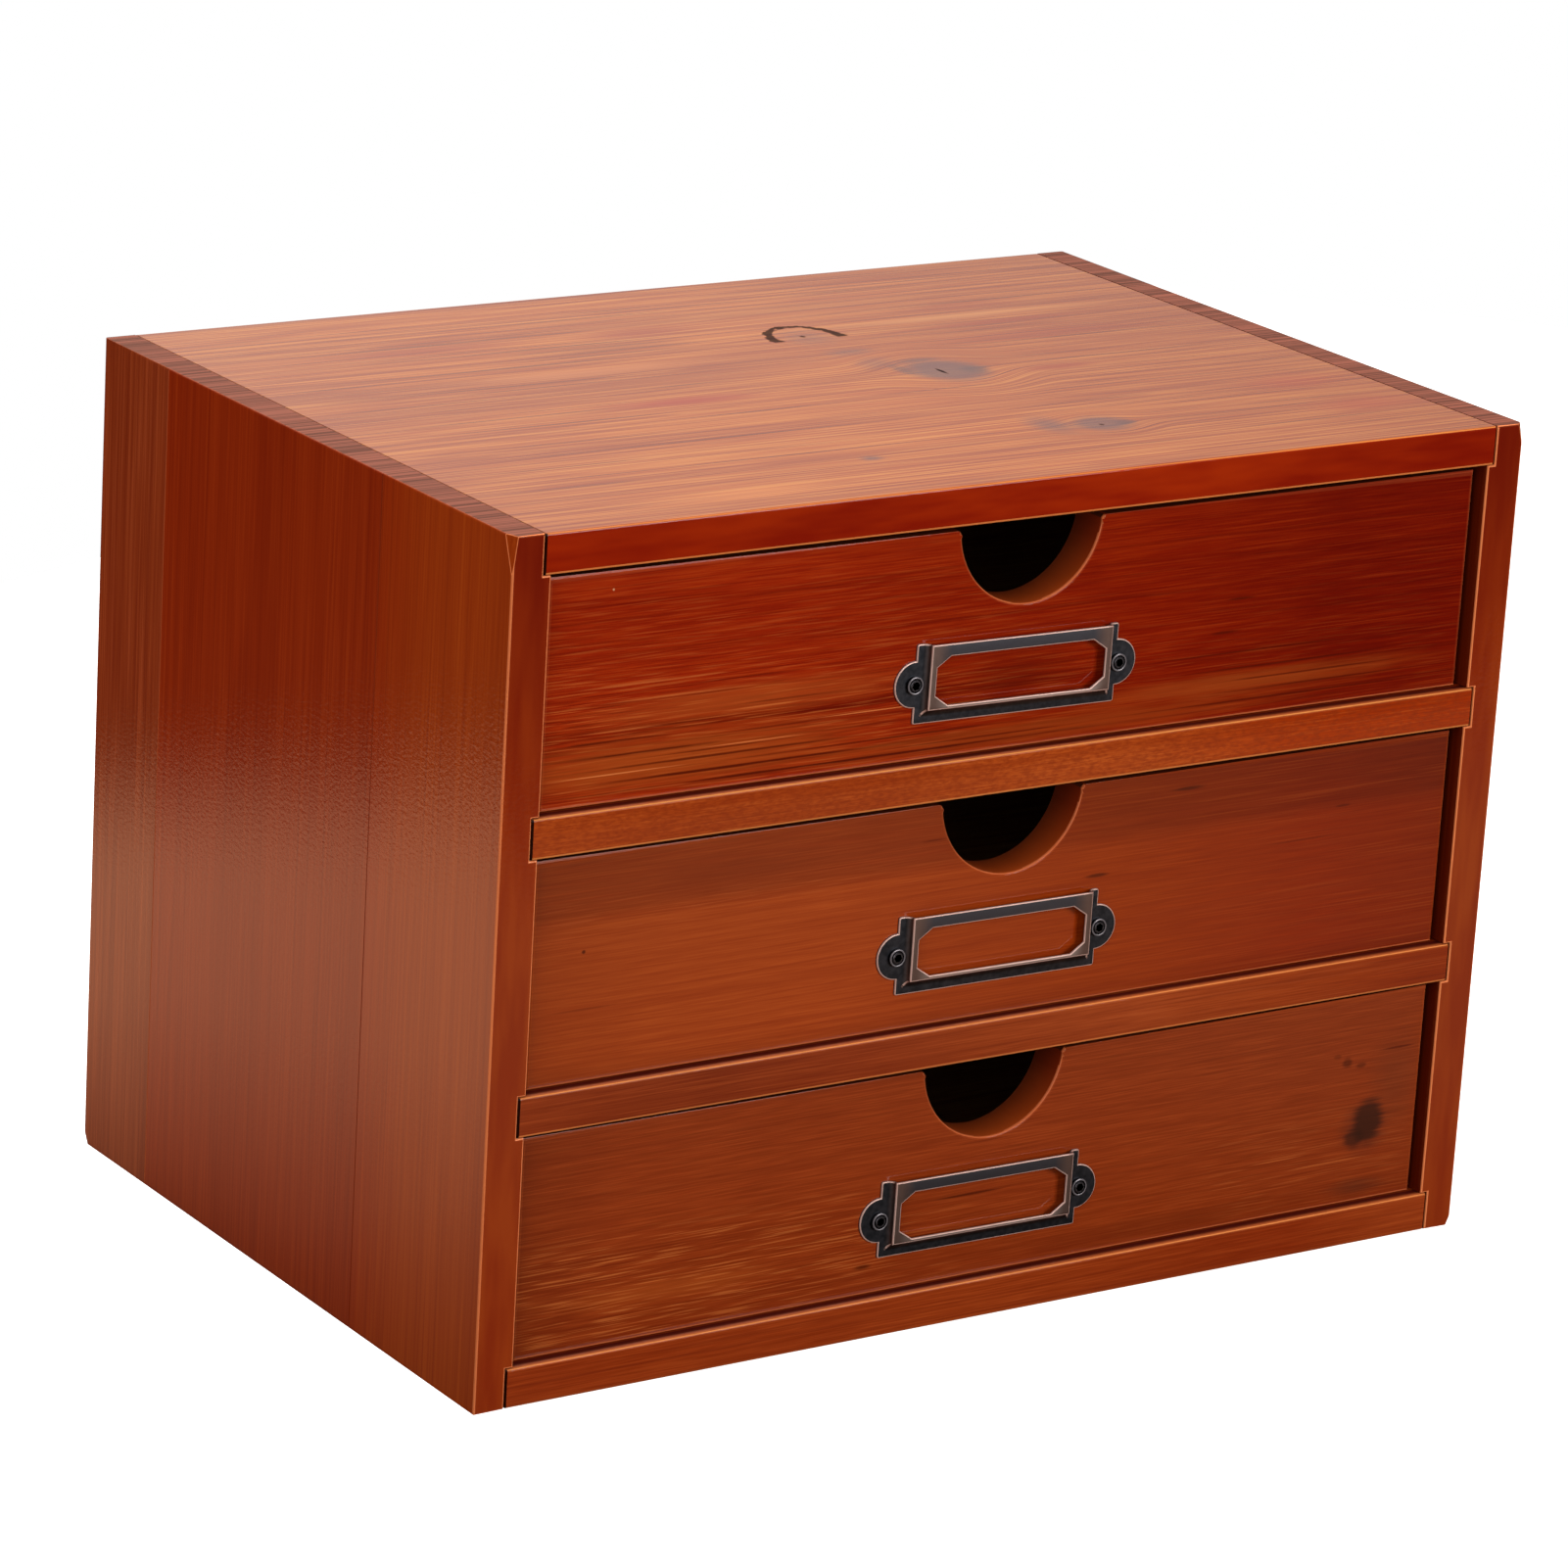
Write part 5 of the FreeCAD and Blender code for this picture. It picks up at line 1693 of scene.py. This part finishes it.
pale = ramp(tree, fibre, [(0.3, "#f4f3f2"), (0.7, "#fafafa")])
reached = between(tree, length_of(tree, spot), 0.0, FLOOR_REACH)
spread = ramp(tree, reached, [(0.28, 0.15), (0.34, 0.33), (0.42, 0.56), (0.53, 0.86),
                              (0.7, 1.0), (1.0, 1.0)])
behind = between(tree, axes_of(tree, spot)["Y"], -0.12, 0.03, 0.27, 1.0)
depth = add(tree, "VectorMath", {0: spot, 1: BACK_EDGE[1]}, out="Value",
            operation="DOT_PRODUCT")
fading = between(tree, depth, 0.43, 0.62, 1.0, 0.0, interpolation_type="SMOOTHSTEP")
mirrored = spread
for part in (behind, fading, MIRRORED_GLOW):
    mirrored = maths(tree, "MULTIPLY", mirrored, part)
# A painted glow: the sweep's emission, seen only in reflections and bounced light.
glow = add(tree, "Emission", {"Color": linear("#ffcaa0"), "Strength": mirrored})
plain = add(tree, "BsdfPrincipled", {"Base Color": pale, "Roughness": 0.8,
                                     "Emission Color": (1, 1, 1, 1), "Emission Strength": 0.8})
seen = add(tree, "LightPath", out="Is Camera Ray")
both = add(tree, "MixShader", {0: seen, 1: glow, 2: plain})
add(tree, "OutputMaterial", {"Surface": both})
wear_material(floor, paper)

# %% Room
world = bpy.data.worlds.new("studio")
bpy.context.scene.world = world
world.use_nodes = True
tree = world.node_tree
tree.nodes.clear()
towards = axes_of(tree, add(tree, "TexCoord", out="Generated"))
behind = between(tree, towards["Y"], 0.0, 0.5)
above = between(tree, towards["Z"], 0.02, 0.12)
aside = between(tree, towards["X"], 0.46, 0.66, 1.0, 0.5)
backdrop = maths(tree, "MULTIPLY", maths(tree, "MULTIPLY", behind, above), aside)
glow = between(tree, backdrop, 0.0, 1.0, 0.008, 0.74)
seen = add(tree, "LightPath", out="Is Camera Ray")
glow = add(tree, "Mix", {0: seen, 2: glow, 3: 1.0})
hue = blend(tree, seen, "#fff6ea", "#ffffff")
shader = add(tree, "Background", {"Color": hue, "Strength": glow})
add(tree, "OutputWorld", {"Surface": shader})

# %% Softboxes
AIM = Vector((0, 0, 0.12))
SOFTBOXES = {
    "overhead": ((-0.1, 0.1, 1.5), 1.2, 25.0),
    "front_left": ((-1.7, -1.5, 1.0), 2.2, 31.2),
    "front_right": ((0.9, -2.1, 0.8), 1.0, 33.0),
}
for name, (place, size, power) in SOFTBOXES.items():
    light = bpy.data.lights.new(name, "AREA")
    light.shape = "RECTANGLE"
    light.size = light.size_y = size
    light.energy = power
    lamp = bpy.data.objects.new(name, light)
    facing = (AIM - Vector(place)).to_track_quat("-Z", "Y").to_matrix().to_4x4()
    lamp.matrix_world = Matrix.Translation(place) @ facing
    bpy.context.scene.collection.objects.link(lamp)

# %% Camera
AZIMUTH = math.radians(-34.09)
ELEVATION = math.radians(17.35)
ROLL = math.radians(3.44)
SENSOR = 36.0
FOCAL_IN_PIXELS = 6657.3
FRAME_PIXELS = 1601
DISTANCE_SHARE = 7.742
RIGHT_SHARE = -0.0071
UP_SHARE = 0.0064
NEAREST = 0.05
height = cad_box[1].z
forward = Vector((-math.sin(AZIMUTH) * math.cos(ELEVATION),
                  math.cos(AZIMUTH) * math.cos(ELEVATION), -math.sin(ELEVATION)))
level_right = forward.cross(Vector((0, 0, 1))).normalized()
level_up = level_right.cross(forward)
right = math.cos(ROLL) * level_right + math.sin(ROLL) * level_up
up = -math.sin(ROLL) * level_right + math.cos(ROLL) * level_up
middle = Vector((0, 0, height / 2)) + right * (RIGHT_SHARE * height) + up * (UP_SHARE * height)
eye = middle - forward * (DISTANCE_SHARE * height)
lens = bpy.data.cameras.new("camera")
lens.sensor_width = SENSOR
lens.lens = FOCAL_IN_PIXELS / FRAME_PIXELS * SENSOR
lens.clip_start = NEAREST
camera = bpy.data.objects.new("camera", lens)
turn = Matrix((right, up, -forward)).transposed().to_4x4()
camera.matrix_world = Matrix.Translation(eye) @ turn
bpy.context.scene.collection.objects.link(camera)
bpy.context.scene.camera = camera
bpy.context.scene.view_settings.view_transform = "Standard"
print("camera at", [round(value, 4) for value in eye], "lens", round(lens.lens, 2))

# %% The end
bpy.context.view_layer.update()
